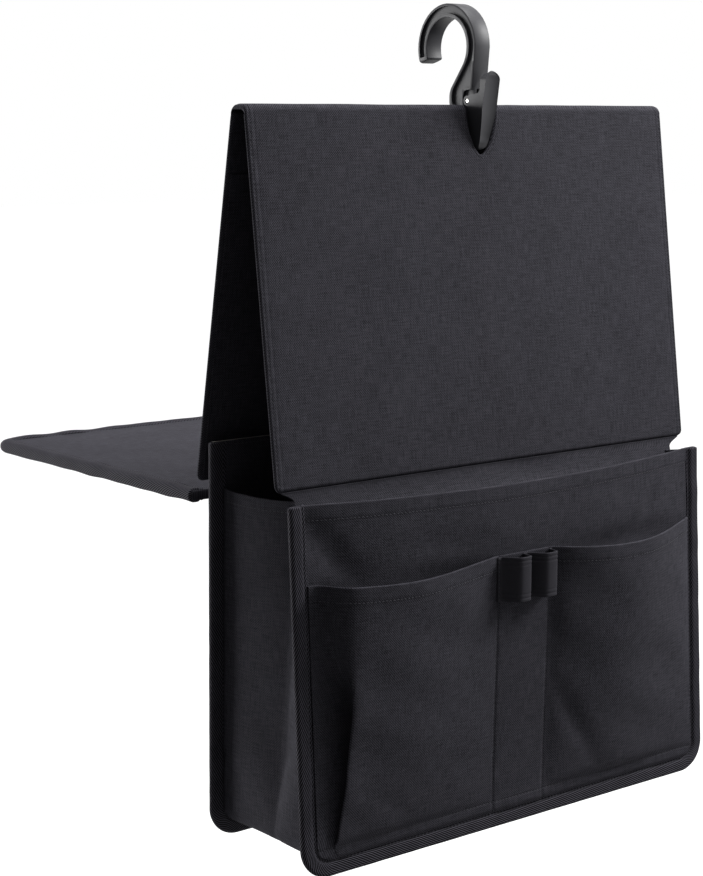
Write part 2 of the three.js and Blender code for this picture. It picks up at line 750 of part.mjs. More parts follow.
// Hook: ring, leg and rear jaw from one moulding

const degrees = (angle) => (angle * Math.PI) / 180;
const jawSeatY = tapeY + tapeThick / 2 + gap; // rear face of the tape
const jawFrontY = tapeY - tapeThick / 2 - gap; // front face of the tape
const leverTop = pinZ + leverTopRise;
const leverFoot = pinZ - leverFootDrop;
const leverShoulder = pinZ - leverShoulderDrop;
const jawTop = leverFoot + jawFaceLength + 1;
const hookTop = ringZ + ringOuter;
const hookRear = ringY + ringOuter;

const ringPoint = (radius, angle) => [
  ringY + radius * Math.cos(angle),
  ringZ + radius * Math.sin(angle),
];

// A point on the way from one point to another, at a distance from the first.
const toward = ([y, z], [otherY, otherZ], distance) => {
  const share = distance / Math.hypot(otherY - y, otherZ - z);
  return [y + (otherY - y) * share, z + (otherZ - z) * share];
};

// The rear of the leg, from its widest place up along the slope and into the inside of the ring.
function legRearLine(outline, rearY, radius) {
  const root = degrees(rootAngle);
  const [rootY, rootZ] = ringPoint(radius, root);
  const foot = [rearY, pinZ];
  const shoulder = [rearY, pinZ + legShoulder];
  const throat = [rootY - throatReach * Math.sin(root), rootZ + throatReach * Math.cos(root)];
  outline.lineTo(...toward(shoulder, foot, shoulderReach));
  outline.quadraticCurveTo(...shoulder, ...toward(shoulder, throat, shoulderReach));
  outline.lineTo(...toward(throat, shoulder, throatReach));
  outline.quadraticCurveTo(...throat, rootY, rootZ);
}

// Side view: out along the ring, down the front of the leg, round the jaw and back up.
function hookOutline() {
  const tip = degrees(tipAngle);
  const outerTip = tip + tipRound / ringOuter;
  const innerTip = tip + tipRound / ringInner;
  const legFoot = tapeHead + 2 * gap;
  const rearY = pinY + legRear;
  const reliefY = jawSeatY + jawRelief;
  const toeY = jawSeatY + jawTip;
  const outline = new THREE.Shape();
  outline.moveTo(...ringPoint(ringOuter, outerTip));
  outline.absarc(ringY, ringZ, ringOuter, outerTip, Math.PI, false);
  outline.lineTo(pinY - legFront, pinZ);
  outline.quadraticCurveTo(pinY - legFront, legFoot, pinY - pinRadius, legFoot);
  outline.lineTo(reliefY, legFoot);
  outline.lineTo(reliefY, jawTop + jawRelief);
  outline.lineTo(jawSeatY, jawTop);
  outline.lineTo(jawSeatY, leverFoot);
  outline.lineTo(jawSeatY + jawTip / 2, leverFoot);
  outline.quadraticCurveTo(toeY, leverFoot, toeY, leverFoot + jawTip);
  outline.lineTo(jawSeatY + jawRoot, jawTop - jawRelief);
  outline.quadraticCurveTo(rearY, pinZ - legShoulder, rearY, pinZ);
  legRearLine(outline, rearY, ringInner);
  outline.absarc(ringY, ringZ, ringInner, degrees(rootAngle), innerTip, true);
  outline.quadraticCurveTo(...ringPoint(ringInner, tip), ...ringPoint(ringInner + tipRound, tip));
  outline.lineTo(...ringPoint(ringOuter - tipRound, tip));
  outline.quadraticCurveTo(...ringPoint(ringOuter, tip), ...ringPoint(ringOuter, outerTip));
  return outline;
}

// Recess in the sides, between the ribs: along the ring and, wider, down the leg behind the pin.
function recessOutline() {
  const from = degrees(tipAngle) + innerRib / ringInner;
  const inner = ringInner + innerRib;
  const rearY = pinY + legRear - legRib;
  const neckFoot = pinZ + springSlotHigh + outerRib / 2;
  const behindSlot = pinY + earRadius + 2 * gap + outerRib / 2;
  const foot = pinZ - recessDrop;
  const outline = new THREE.Shape();
  outline.absarc(ringY, ringZ, ringOuter - outerRib, from, Math.PI, false);
  outline.lineTo(pinY - legFront + outerRib, neckFoot);
  outline.lineTo(behindSlot, neckFoot);
  outline.lineTo(behindSlot + outerRib, foot);
  outline.lineTo(rearY - legRib, foot);
  outline.lineTo(rearY, pinZ);
  legRearLine(outline, rearY, inner);
  outline.absarc(ringY, ringZ, inner, degrees(rootAngle), from, true);
  outline.closePath();
  return outline;
}

// Front view of lever or jaw: full breadth down to the shoulder, then tapering to the foot.
function taperOutline(breadth, footBreadth, top, inset) {
  const half = breadth / 2 - inset;
  const footHalf = footBreadth / 2 - inset;
  const bendZ = (leverShoulder + leverFoot) / 2 - leverBendDrop;
  const foot = leverFoot - 2;
  const outline = new THREE.Shape();
  outline.moveTo(-half, leverShoulder);
  outline.quadraticCurveTo(-half * leverNarrowing, bendZ, -footHalf, foot);
  outline.lineTo(footHalf, foot);
  outline.quadraticCurveTo(half * leverNarrowing, bendZ, half, leverShoulder);
  outline.lineTo(half, top - half);
  outline.absarc(0, top - half, half, 0, Math.PI, false);
  outline.closePath();
  return outline;
}

const pinCylinder = (radius, length) =>
  new THREE.CylinderGeometry(radius, radius, length, 20)
    .rotateZ(Math.PI / 2)
    .translate(0, pinY, pinZ);

// A pair of side recesses that leave a web of the given breadth between them.
function sideCuts(solid, cutter, webBreadth) {
  const shift = (hookBreadth + webBreadth) / 2;
  return solid.subtract(cutter.translate([shift, 0, 0])).subtract(cutter.translate([-shift, 0, 0]));
}

function hookBody() {
  let solid = solidOf(sideProfile(hookOutline(), hookBreadth, hookRound, 12));
  solid = sideCuts(solid, solidOf(sideProfile(recessOutline(), hookBreadth, 0, 12)), hookWeb);
  // The cheeks of the lever lie beside the neck, and turn there.
  const clear = earRadius + 2 * gap;
  const front = pinY - 2 * leverTopReach;
  const roomTop = pinZ + cheekRoomRise;
  const roomFoot = leverFoot - leverFootDrop;
  const cheekRoom = new THREE.Shape();
  cheekRoom.moveTo(front, roomTop);
  cheekRoom.lineTo(pinY, roomTop);
  cheekRoom.quadraticCurveTo(pinY + clear, roomTop, pinY + clear, pinZ);
  cheekRoom.absarc(pinY, pinZ, clear, 0, -Math.PI / 2, true);
  cheekRoom.lineTo(jawSeatY - gap / 2, pinZ - clear);
  cheekRoom.lineTo(jawSeatY - gap / 2, roomFoot);
  cheekRoom.lineTo(front, roomFoot);
  cheekRoom.closePath();
  solid = sideCuts(solid, solidOf(sideProfile(cheekRoom, hookBreadth)), neckBreadth);
  const taper = uprightPlate(
    taperOutline(hookBreadth, leverTipBreadth + 2, hookTop + hookBreadth, 0),
    front,
    hookRear + hookBreadth,
  );
  solid = solid.intersect(solidOf(taper));
  const slotRear = pinY + clear;
  const slot = new THREE.BoxGeometry(springSlot, slotRear - front, 2 * springSlotHigh);
  slot.translate(0, (slotRear + front) / 2, pinZ);
  solid = solid.subtract(solidOf(slot));
  return solid.subtract(solidOf(pinCylinder(pinRadius + gap, hookBreadth)));
}

// Side view of the lever: front edge, jaw, ear round the pin, valley and flange.
function leverOutline() {
  const topY = pinY - leverTopReach;
  const footY = pinY - leverFootReach;
  const bend = [pinY - leverMidReach, pinZ - leverBendDrop];
  const heel = [pinY - heelReach, leverFoot + heelRise];
  const jawChamfer = 1.5;
  const earTop = degrees(100);
  const flangeY = topY + flangeDepth + 1;
  const valleyY = pinY - valleyReach;
  const valleyZ = pinZ + valleyRise;
  const roundZ = leverTop - leverTopRound;
  const outline = new THREE.Shape();
  outline.moveTo(topY, roundZ);
  outline.lineTo(...bend);
  outline.quadraticCurveTo(bend[0] + jawChamfer, (bend[1] + heel[1]) / 2, ...heel);
  outline.quadraticCurveTo(footY - 2 * jawChamfer, leverFoot, footY, leverFoot);
  outline.lineTo(jawFrontY - jawChamfer, leverFoot);
  outline.lineTo(jawFrontY, leverFoot + jawChamfer);
  outline.lineTo(jawFrontY, pinZ - earRadius);
  outline.lineTo(pinY, pinZ - earRadius);
  outline.absarc(pinY, pinZ, earRadius, -Math.PI / 2, earTop, false);
  outline.quadraticCurveTo(valleyY + valleyRound, valleyZ, valleyY, valleyZ);
  outline.quadraticCurveTo(flangeY, valleyZ, flangeY, valleyZ + valleyRound);
  outline.lineTo(flangeY - 0.6, roundZ);
  outline.quadraticCurveTo(flangeY - 1, leverTop, topY + 1.6, leverTop);
  outline.quadraticCurveTo(topY - 0.4, leverTop, topY, roundZ);
  return outline;
}

function clipLever() {
  const outer = solidOf(sideProfile(leverOutline(), leverBreadth));
  const front = pinY - 2 * leverTopReach;
  const rear = pinY + leverTopReach;
  const over = leverTop + leverBreadth;
  const face = uprightPlate(
    taperOutline(leverBreadth, leverTipBreadth, leverTop + 1, 0),
    front,
    rear,
  );
  // The channel is open to the rear and ends above the solid tip of the jaw.
  const channel = new THREE.Shape();
  channel.moveTo(pinY - leverTopReach + leverPlate - 1, over);
  channel.lineTo(pinY - leverTopReach + leverPlate, leverTop - leverTopRound);
  channel.lineTo(pinY - leverMidReach + leverPlate, pinZ - leverBendDrop);
  channel.lineTo(pinY - leverMidReach + 2 * leverPlate, jawTop - leverTopRound);
  channel.lineTo(rear, jawTop);
  channel.lineTo(rear, over);
  channel.closePath();
  const inside = solidOf(sideProfile(channel, 2 * leverBreadth)).intersect(
    solidOf(
      uprightPlate(
        taperOutline(leverBreadth, leverTipBreadth, over, leverWall),
        front,
        rear + 1,
      ),
    ),
  );
  return outer
    .intersect(solidOf(face))
    .subtract(inside)
    .subtract(solidOf(pinCylinder(pinRadius + gap, 2 * leverBreadth)));
}

// The pin ends just inside the faces of the cheeks.
function leverPin() {
  const reach = leverBreadth / 2 - gap;
  const chamfer = gap;
  const profile = [
    new THREE.Vector2(0, -reach),
    new THREE.Vector2(pinRadius - chamfer, -reach),
    new THREE.Vector2(pinRadius, -reach + chamfer),
    new THREE.Vector2(pinRadius, reach - chamfer),
    new THREE.Vector2(pinRadius - chamfer, reach),
    new THREE.Vector2(0, reach),
  ];
  return new THREE.LatheGeometry(profile, 20).rotateZ(Math.PI / 2).translate(0, pinY, pinZ);
}

// Torsion spring: the wire comes straight from the lever's plate, turns as a helix round the pin
// and leaves straight up along the rear of its slot.
function clipSpring() {
  const width = springTurns * springPitch;
  const plateY = pinY - leverTopReach + leverPlate;
  const springTip = new THREE.Vector3(-width / 2, plateY + 2.4, pinZ + springLegHigh);
  const points = [springTip];
  const steps = 24;
  for (let i = 0; i <= steps; i += 1) {
    const angle = degrees(springFrom) + (2 * Math.PI * springTurns * i) / steps;
    points.push(
      new THREE.Vector3(
        -width / 2 + (width * i) / steps,
        pinY + springRadius * Math.cos(angle),
        pinZ + springRadius * Math.sin(angle),
      ),
    );
  }
  points.push(new THREE.Vector3(width / 2, pinY + springRadius, pinZ + springLegHigh));
  const wire = new THREE.Shape();
  wire.absarc(0, 0, springWire / 2, 0, 2 * Math.PI, false);
  return new THREE.ExtrudeGeometry(wire, {
    curveSegments: 3,
    steps: 60,
    extrudePath: new THREE.CatmullRomCurve3(points, false, 'centripetal'),
  });
}

const hook = new THREE.Group();
hook.position.x = slotShift;
hook.add(part('hook_body', hookBody(), plasticFinish()));
hook.add(part('clip_lever', clipLever(), plasticFinish()));
hook.add(part('lever_pin', leverPin(), steelFinish()));
hook.add(part('clip_spring', clipSpring(), steelFinish()));
assembly.add(hook);

// The origin is the seat of the hook: the inside of its ring, at the top.
assembly.position.set(-slotShift, -ringY, -(ringZ + ringInner));
const organizer = new THREE.Group();
organizer.add(assembly);

export default organizer;
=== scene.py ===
"""Seat back organizer: a gusseted cloth bag under two stiff panels that meet in a ridge, with
pockets, pen loops, a rear flap and a clip hook.

Shapes are worked out in millimetres with heights counted from the foot of the bag, X to the
right and Y to the rear, and turned into the frame's metres as each mesh is made.
"""

import math
from functools import partial

import bmesh
import bpy
import numpy as np
from mathutils import Euler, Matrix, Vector

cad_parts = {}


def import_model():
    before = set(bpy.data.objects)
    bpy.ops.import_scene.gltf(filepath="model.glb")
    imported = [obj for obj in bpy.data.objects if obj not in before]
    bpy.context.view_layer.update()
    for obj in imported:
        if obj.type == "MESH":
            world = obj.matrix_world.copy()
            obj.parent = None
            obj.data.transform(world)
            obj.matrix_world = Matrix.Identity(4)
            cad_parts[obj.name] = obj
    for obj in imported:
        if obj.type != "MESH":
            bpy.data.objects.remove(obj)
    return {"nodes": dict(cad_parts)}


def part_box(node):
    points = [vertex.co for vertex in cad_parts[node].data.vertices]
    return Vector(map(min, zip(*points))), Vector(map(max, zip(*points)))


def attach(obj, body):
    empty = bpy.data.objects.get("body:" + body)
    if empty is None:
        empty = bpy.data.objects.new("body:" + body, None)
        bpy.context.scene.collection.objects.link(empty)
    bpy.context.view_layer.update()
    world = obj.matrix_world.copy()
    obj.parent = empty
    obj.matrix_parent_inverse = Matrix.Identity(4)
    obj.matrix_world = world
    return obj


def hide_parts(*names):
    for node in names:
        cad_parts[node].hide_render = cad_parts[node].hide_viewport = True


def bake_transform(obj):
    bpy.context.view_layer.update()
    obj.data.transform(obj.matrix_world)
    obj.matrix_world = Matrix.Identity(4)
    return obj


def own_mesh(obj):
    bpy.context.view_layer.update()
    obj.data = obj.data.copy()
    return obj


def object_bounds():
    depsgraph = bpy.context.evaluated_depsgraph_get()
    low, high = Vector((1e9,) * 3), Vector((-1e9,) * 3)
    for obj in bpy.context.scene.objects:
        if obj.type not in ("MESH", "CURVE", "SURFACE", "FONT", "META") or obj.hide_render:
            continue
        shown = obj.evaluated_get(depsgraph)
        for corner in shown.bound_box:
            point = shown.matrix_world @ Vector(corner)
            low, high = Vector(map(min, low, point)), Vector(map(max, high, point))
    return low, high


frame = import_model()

CAD_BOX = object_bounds()

# Sizes, in millimetres

MM = 0.001
TAU = 2 * math.pi

RIDGE_TOP = 494.7
RIDGE_MIDDLE = 51.3  # Y of the line along which the ridge is highest
RIDGE_ROUND = 5.0
HANGING_Y = 48.0
HANGING_LOW = 465.5
HANGING_HIGH = 493.9
HANGING_HALF = 42.0  # half the length of the hanging tape

BAG_WIDTH = 380.0
FRONT = dict(foot=-12.9, top=0.0, length=244.7)  # Y of its foot and its top, height up its slope
BACK = dict(foot=90.5, top=86.0, length=275.0)
CORNER = 22.0
WALL_BOW = 14.0
WALL_CLOTH = 1.2
HEM_SAG = 4.0
HEM_WIDTH = 11.5
HEM_STITCH = HEM_WIDTH - 1.1  # from a hem's edge to its row of stitches

BINDING_WIDTH = 12.0
BINDING_STITCH = 9.8  # from its outer edge
BINDING_FLOOR = 2.4
TAPE_THICK = 0.6
FRONT_BINDING = 5.0
BACK_BINDING = 5.8
FLAP_BINDING = 9.6
CLEAR_HALF = BAG_WIDTH / 2 - BINDING_WIDTH
SHEET_INSET = BINDING_FLOOR + 0.3  # from the edge of a binding to the cloth that it holds
SHEET_HALF = BAG_WIDTH / 2 - SHEET_INSET

GUSSET_INSET = 10.0
GUSSET_TOP = FRONT["length"] - 1.7
GUSSET_HEM = 10.0
CREASE_DEPTH = (4.5, 17.0)  # how far in at the foot and at the top
CREASE_TOP = 0.24  # share of the gusset's breadth that lies before the crease
CREASE_LOW = 0.45
CREASE_FOOT = 70.0  # height at which it has run out

POCKET_HEIGHT = 193.0
POCKET_CLOTH = 1.0
POCKET_FOOT = BINDING_WIDTH - 1.0
POCKET_SEAM = 18.5  # height of the stitches along its foot
POCKET_BULGE = 17.0
SEAM_LEFT = -25.0
SEAM_RIGHT = 22.5

LOOP_HEIGHT = 31.0
LOOP_TOP = POCKET_HEIGHT - 1
LOOP_FOOT = LOOP_TOP - LOOP_HEIGHT
LOOP_REACH = 11.4
LOOP_MIDDLE = -1.8  # X of the stitches between the two loops

PANEL_HALF = 189.5
PANEL_CORNER = 5.0
PANEL_STACK = 3.6
COVER_DEEP = 2.9  # outer face to the inner face of the board
COVER_THIN = 1.0  # where only cloth arches over the ridge
LINING_INSET = 3.0
LINING_HALF = 0.4  # half of its thickness
AXIS_Z = 488.2  # height of the lines at which the panels turn under the ridge
PANELS = {
    -1: dict(axis=44.6, foot=(14.4, 250.5)),
    1: dict(axis=58.0, foot=(101.8, 246.5)),
}
HOOK_X = 7.0  # X of the hook, and of the deepest place of its slot
SLOT_LEFT = 11.5
SLOT_RIGHT = 16.6
SLOT_DEPTH = 34.0
SLOT_POWER = 1.7

FLAP_LENGTH = 275.0
FLAP_HINGE = (110.0, 235.0)
FLAP_CORNER = 20.0
FLAP_STACK = 7.0
FLAP_SEAM = 4.5  # from its root to the stitches there

HINGE_HALF = CLEAR_HALF - 2.6
FRONT_HINGE_RUN = 30.0
REAR_HINGE_RUN = 20.0


def frame_origin():
    """The frame's origin in the bag's own millimetres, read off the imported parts."""
    binding_low, binding_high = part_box("front_binding")
    tape_low, tape_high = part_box("hanging_tape")
    ridge_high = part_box("ridge_fold_left")[1]
    return np.array([
        -(binding_low.x + binding_high.x) / 2 / MM,
        HANGING_Y - (tape_low.y + tape_high.y) / 2 / MM,
        RIDGE_TOP - ridge_high.z / MM,
    ])


ORIGIN = frame_origin()


def to_frame(points):
    """Bag millimetres to the frame's metres."""
    return (np.asarray(points, float) - ORIGIN) * MM


def at(x, y, z):
    """One point of the bag as a tuple in the frame."""
    return tuple(to_frame([x, y, z]))


def added(name, data):
    """A new object in the scene, at the origin."""
    thing = bpy.data.objects.new(name, data)
    bpy.context.scene.collection.objects.link(thing)
    return thing


# Camera

VIEW_AZIMUTH = 38.707
VIEW_PITCH = 9.149
VIEW_POSITION = (-927.0, -1043.8, -69.8)  # millimetres, in the frame
VIEW_LENS = 81.22
LONG_SIDE_FILM = 36.0


def make_camera():
    """The camera of the photograph, fitted to the corners of the bag and its panels."""
    lens = bpy.data.cameras.new("camera")
    lens.lens = VIEW_LENS
    lens.sensor_width = LONG_SIDE_FILM
    lens.clip_start = 0.05
    lens.clip_end = 60
    camera = added("camera", lens)
    camera.location = Vector(VIEW_POSITION) * MM
    tilt = math.radians(90 - VIEW_PITCH)
    camera.rotation_euler = Euler((tilt, 0, -math.radians(VIEW_AZIMUTH)))
    bpy.context.scene.camera = camera


make_camera()


# Shader maths

class Field:
    """A number, vector or colour in a tree of nodes. Arithmetic on it adds the nodes."""

    def __init__(self, nodes, socket):
        self.nodes = nodes
        self.socket = socket

    def maths(self, operation, *values):
        settings = dict(operation=operation)
        return self.nodes.node("ShaderNodeMath", settings, dict(enumerate(values)))

    def __add__(self, other):
        return self.maths("ADD", self, other)

    def __sub__(self, other):
        return self.maths("SUBTRACT", self, other)

    def __rsub__(self, other):
        return self.maths("SUBTRACT", other, self)

    def __mul__(self, other):
        return self.maths("MULTIPLY", self, other)

    __radd__ = __add__
    __rmul__ = __mul__

    def sine(self):
        return self.maths("SINE", self)

    def clamped(self, low=0.0, high=1.0):
        return self.maths("MINIMUM", self.maths("MAXIMUM", self, low), high)

    def between(self, low, high):
        """0 below low, 1 above high, and smooth in between."""
        settings = dict(interpolation_type="SMOOTHSTEP")
        inputs = {"Value": self, "From Min": low, "From Max": high}
        return self.nodes.node("ShaderNodeMapRange", settings, inputs)


class Nodes:
    """The nodes of a material or of the world."""

    SEEING = ("Is Camera Ray", "Is Glossy Ray", "Is Transmission Ray")

    def __init__(self, tree):
        self.tree = tree

    def node(self, kind, settings=None, inputs=None, output=0):
        """Adds a node: its settings first, then the values or links of its sockets."""
        node = self.tree.nodes.new(kind)
        for name, value in (settings or {}).items():
            setattr(node, name, value)
        for key, value in (inputs or {}).items():
            if isinstance(value, Field):
                self.tree.links.new(value.socket, node.inputs[key])
            else:
                node.inputs[key].default_value = value
        return Field(self, node.outputs[output])

    def feed(self, field, node, socket):
        self.tree.links.new(field.socket, node.inputs[socket])

    def coordinates(self, source):
        return self.node("ShaderNodeTexCoord", output=source)

    def parts(self, vector):
        """The three numbers of a vector."""
        first = self.node("ShaderNodeSeparateXYZ", inputs={0: vector})
        return [Field(self, socket) for socket in first.socket.node.outputs]

    def stretched(self, vector, scale):
        inputs = {"Vector": vector, "Scale": scale}
        return self.node("ShaderNodeMapping", inputs=inputs)

    def noise(self, vector, scale, detail=2.0, roughness=0.5):
        inputs = {"Vector": vector, "Scale": scale, "Detail": detail, "Roughness": roughness}
        return self.node("ShaderNodeTexNoise", inputs=inputs)

    def colours(self, share, first, second):
        """A colour that goes from the first to the second as share goes from 0 to 1."""
        inputs = {0: share, 6: (*first, 1), 7: (*second, 1)}
        return self.node("ShaderNodeMix", dict(data_type="RGBA"), inputs, output=2)

    def seeing(self):
        """1 for the rays in which the background is seen, straight on, mirrored or through
        something clear, and 0 for those that only gather its light."""
        rays = (self.node("ShaderNodeLightPath", output=ray) for ray in self.SEEING)
        camera, glossy, clear = rays
        return (camera + glossy + clear).clamped()


class Finish(Nodes):
    """A material that is being put together around one Principled shader."""

    def __init__(self, name, roughness=0.8, **constants):
        self.material = bpy.data.materials.new(name)
        self.material.use_nodes = True
        super().__init__(self.material.node_tree)
        self.shader = self.tree.nodes["Principled BSDF"]
        self.shader.inputs["Roughness"].default_value = roughness
        for socket, value in constants.items():
            self.shader.inputs[socket.replace("_", " ")].default_value = value

    def use(self, socket, field):
        self.feed(field, self.shader, socket)

    def coloured(self, share, first, second):
        self.use("Base Color", self.colours(share, first, second))

    def bumped(self, height, distance, strength=1.0):
        inputs = {"Height": height, "Distance": distance, "Strength": strength}
        self.use("Normal", self.node("ShaderNodeBump", inputs=inputs))


def scaled(colour, factor):
    return tuple(min(1.0, part * factor) for part in colour)


CLOTH_COLOUR = (0.0345, 0.0335, 0.0405)
CLOTH_THREAD = 0.86 * MM  # from one thread of its weave to the next
CLOTH_FLECKS = (90, 1160)  # per metre along a thread and across it
TAPE_COLOUR = (0.022, 0.021, 0.026)
TAPE_PITCH = 1.45 * MM
WEBBING_COLOUR = (0.026, 0.025, 0.030)
WEBBING_PITCH = (0.9 * MM, 0.8 * MM)
PLASTIC_COLOUR = (0.03, 0.03, 0.034)


def oxford_cloth():
    """Coated polyester cloth: a plain weave of thick threads, each a little uneven, with slubs
    and a faint twill slant. Its colour follows the height of the weave: painted light on the
    threads' crowns and painted shade between them, with the slubs and flecks as its own tone."""
    finish = Finish("oxford_cloth", Specular_IOR_Level=0.03)
    uv = finish.coordinates("UV")
    across, along, _ = finish.parts(uv)
    weft = finish.noise(finish.stretched(uv, (*CLOTH_FLECKS, 1)), 1.0, 2.0)
    warp = finish.noise(finish.stretched(uv, (*CLOTH_FLECKS[::-1], 1)), 1.0, 2.0)
    first = across * (math.pi / CLOTH_THREAD) + weft * 2.4
    second = along * (math.pi / CLOTH_THREAD) + warp * 2.4
    weave = first.sine() * second.sine()
    slant = (first + second).sine()
    heap = weave * 0.26 + slant * 0.24 + 0.5
    cloud = finish.noise(finish.coordinates("Object"), 26.0, 3.0)
    # Painted light and shade: the weave's height makes the colour lighter on the threads' crowns
    # and darker in the hollows; the flecks and the cloud are the cloth's own uneven tone.
    shade = heap * 0.62 + (weft + warp) * 0.42 + cloud * 0.14 - 0.3
    tone = shade.between(0.2, 0.84)
    finish.coloured(tone, scaled(CLOTH_COLOUR, 0.3), scaled(CLOTH_COLOUR, 1.7))
    finish.use("Roughness", heap * 0.2 + 0.66)
    finish.bumped(heap + (weft + warp) * 0.5, 0.14 * MM, 0.9)
    return finish.material


def binding_tape():
    """Twill tape: plain slanting ribs, with the threads' own fine twist across them. Its colour
    is darker in the ribs' grooves and lighter on their crests, as painted shade and painted light.
    """
    finish = Finish("binding_tape", Specular_IOR_Level=0.05)
    uv = finish.coordinates("UV")
    across, along, _ = finish.parts(uv)
    slant = (across * 0.86 + along * 0.5) * (TAU / TAPE_PITCH)
    wobble = finish.noise(uv, 300.0, 2.0)
    rib = (slant + wobble * 1.5).sine() * 0.5 + 0.5
    twist = finish.noise(uv, 2600.0, 1.0)
    wear = finish.noise(finish.coordinates("Object"), 60.0, 3.0)
    # Painted shade in the grooves between the ribs and painted light on their crests; the twist
    # and the wear are the tape's own uneven tone.
    tone = (rib * 0.75 + twist * 0.2 + wear * 0.25).between(0.32, 1.08)
    finish.coloured(tone, scaled(TAPE_COLOUR, 0.08), scaled(TAPE_COLOUR, 3.0))
    finish.use("Roughness", 0.8 - rib * 0.18)
    finish.bumped(rib + twist * 0.25, 0.3 * MM, 1.0)
    return finish.material


def webbing():
    """Plain woven tape: fine ribs across its run, hardly to be seen from afar. Its colour is a
    little darker in the ribs' hollows and lighter on their crests, as faint painted shade and
    light.
    """
    finish = Finish("webbing", Specular_IOR_Level=0.05)
    uv = finish.coordinates("UV")
    across, along, _ = finish.parts(uv)
    rib = (along * (TAU / WEBBING_PITCH[1])).sine() * (across * (TAU / WEBBING_PITCH[0])).sine()
    fibre = finish.noise(uv, 1800.0, 2.0)
    # Faint painted light and shade from the ribs; the fibre noise is the tape's own uneven tone.
    tone = (rib * 0.2 + fibre * 0.6 + 0.2).clamped()
    finish.coloured(tone, scaled(WEBBING_COLOUR, 0.5), scaled(WEBBING_COLOUR, 1.5))
    finish.use("Roughness", fibre * 0.2 + 0.6)
    finish.bumped(rib * 0.5 + fibre, 0.1 * MM, 0.7)
    return finish.material


def satin_plastic():
    """Moulded nylon: satin, with a very fine grain and slightly uneven gloss."""
    finish = Finish("hook_plastic", Specular_IOR_Level=0.2)
    place = finish.coordinates("Object")
    grain = finish.noise(place, 2600.0, 2.0)
    smear = finish.noise(place, 70.0, 3.0)
    finish.coloured(smear, scaled(PLASTIC_COLOUR, 0.85), scaled(PLASTIC_COLOUR, 1.2))
    finish.use("Roughness", grain * 0.12 + smear * 0.16 + 0.34)
    finish.bumped(grain, 0.02 * MM, 0.5)
    return finish.material


def plated_steel():
    """Zinc plated wire and pin, with fine drawn lines and dull patches."""
    finish = Finish("steel", Metallic=1.0)
    place = finish.coordinates("Object")
    drawn = finish.noise(finish.stretched(place, (4000, 300, 300)), 1.0, 2.0)
    dull = finish.noise(place, 500.0, 2.0)
    finish.coloured(dull, (0.42, 0.41, 0.39), (0.62, 0.61, 0.59))
    finish.use("Roughness", drawn * 0.2 + dull * 0.15 + 0.22)
    return finish.material


def stiffener_board():
    """Grey extruded board with faint flow lines."""
    finish = Finish("stiffener")
    place = finish.coordinates("Object")
    flow = finish.noise(finish.stretched(place, (20, 400, 400)), 1.0, 3.0)
    finish.coloured(flow, (0.13, 0.12, 0.11), (0.2, 0.19, 0.17))
    finish.use("Roughness", flow * 0.2 + 0.5)
    finish.bumped(flow, 0.05 * MM, 0.3)
    return finish.material


def sewing_thread():
    """Black polyester thread, a little glossier than the cloth."""
    finish = Finish("sewing_thread", Specular_IOR_Level=0.08)
    twist = finish.noise(finish.coordinates("Object"), 3500.0, 1.0)
    finish.coloured(twist, (0.026, 0.025, 0.031), (0.062, 0.061, 0.07))
    finish.use("Roughness", twist * 0.2 + 0.45)
    return finish.material


CLOTH = oxford_cloth()
TAPE = binding_tape()
WEBBING = webbing()
PLASTIC = satin_plastic()
STEEL = plated_steel()
BOARD = stiffener_board()
THREAD = sewing_thread()


# Surfaces

def clamp01(t):
    return np.clip(t, 0.0, 1.0)


def smooth(t):
    """0 to 1 with level ends: 3 t squared minus 2 t cubed."""
    t = clamp01(t)
    return t * t * (3 - 2 * t)


def joined(*parts):
    """Arrays of coordinates, spread to one shape, as an array of points."""
    return np.stack(np.broadcast_arrays(*parts), axis=-1)


def edge_fall(distance, radius):
    """Height of a quarter circle of that radius over its edge, as a share of the radius."""
    short = 1 - clamp01(distance / radius)
    return np.sqrt(np.maximum(0.0, 1 - short ** 2))


def ridge_line(distance, place, width):
    """A narrow swell that is 1 at a place and dies away over a width on both sides."""
    return np.exp(-(((distance - place) / width) ** 2))


def soft_fold(x, height, start, end, width):
    """1 along the line between two places of a sheet, dying away beside it and at its ends:
    the bell curve of the distance from it, times half a sine along it."""
    run = math.hypot(end[0] - start[0], end[1] - start[1])
    way = ((end[0] - start[0]) / run, (end[1] - start[1]) / run)
    along = (x - start[0]) * way[0] + (height - start[1]) * way[1]
    off = (x - start[0]) * way[1] - (height - start[1]) * way[0]
    return np.exp(-((off / width) ** 2)) * np.sin(math.pi * clamp01(along / run))


def corner_draw(height, radius):
    """How far a rounded corner draws a side in at a height above the foot."""
    low = clamp01(1 - height / radius)
    return radius - np.sqrt(np.maximum(0.0, radius ** 2 - (radius * low) ** 2))


def drawn_in(x, half_width, height, radius):
    """X of the columns of a sheet whose two lower corners are rounded."""
    return x * (half_width - corner_draw(height, radius)) / half_width


def normals_of(points):
    """Unit normals of a grid of points, from its columns crossed with its rows."""
    across = np.gradient(points, axis=1)
    up = np.gradient(points, axis=0)
    normal = np.cross(across, up)
    return normal / np.maximum(np.linalg.norm(normal, axis=-1, keepdims=True), 1e-12)


def run_across(points):
    """Distance along each row of a grid of points, from its first column."""
    steps = np.linalg.norm(np.diff(points, axis=1), axis=-1)
    return np.concatenate([np.zeros((len(points), 1)), np.cumsum(steps, axis=1)], axis=1)


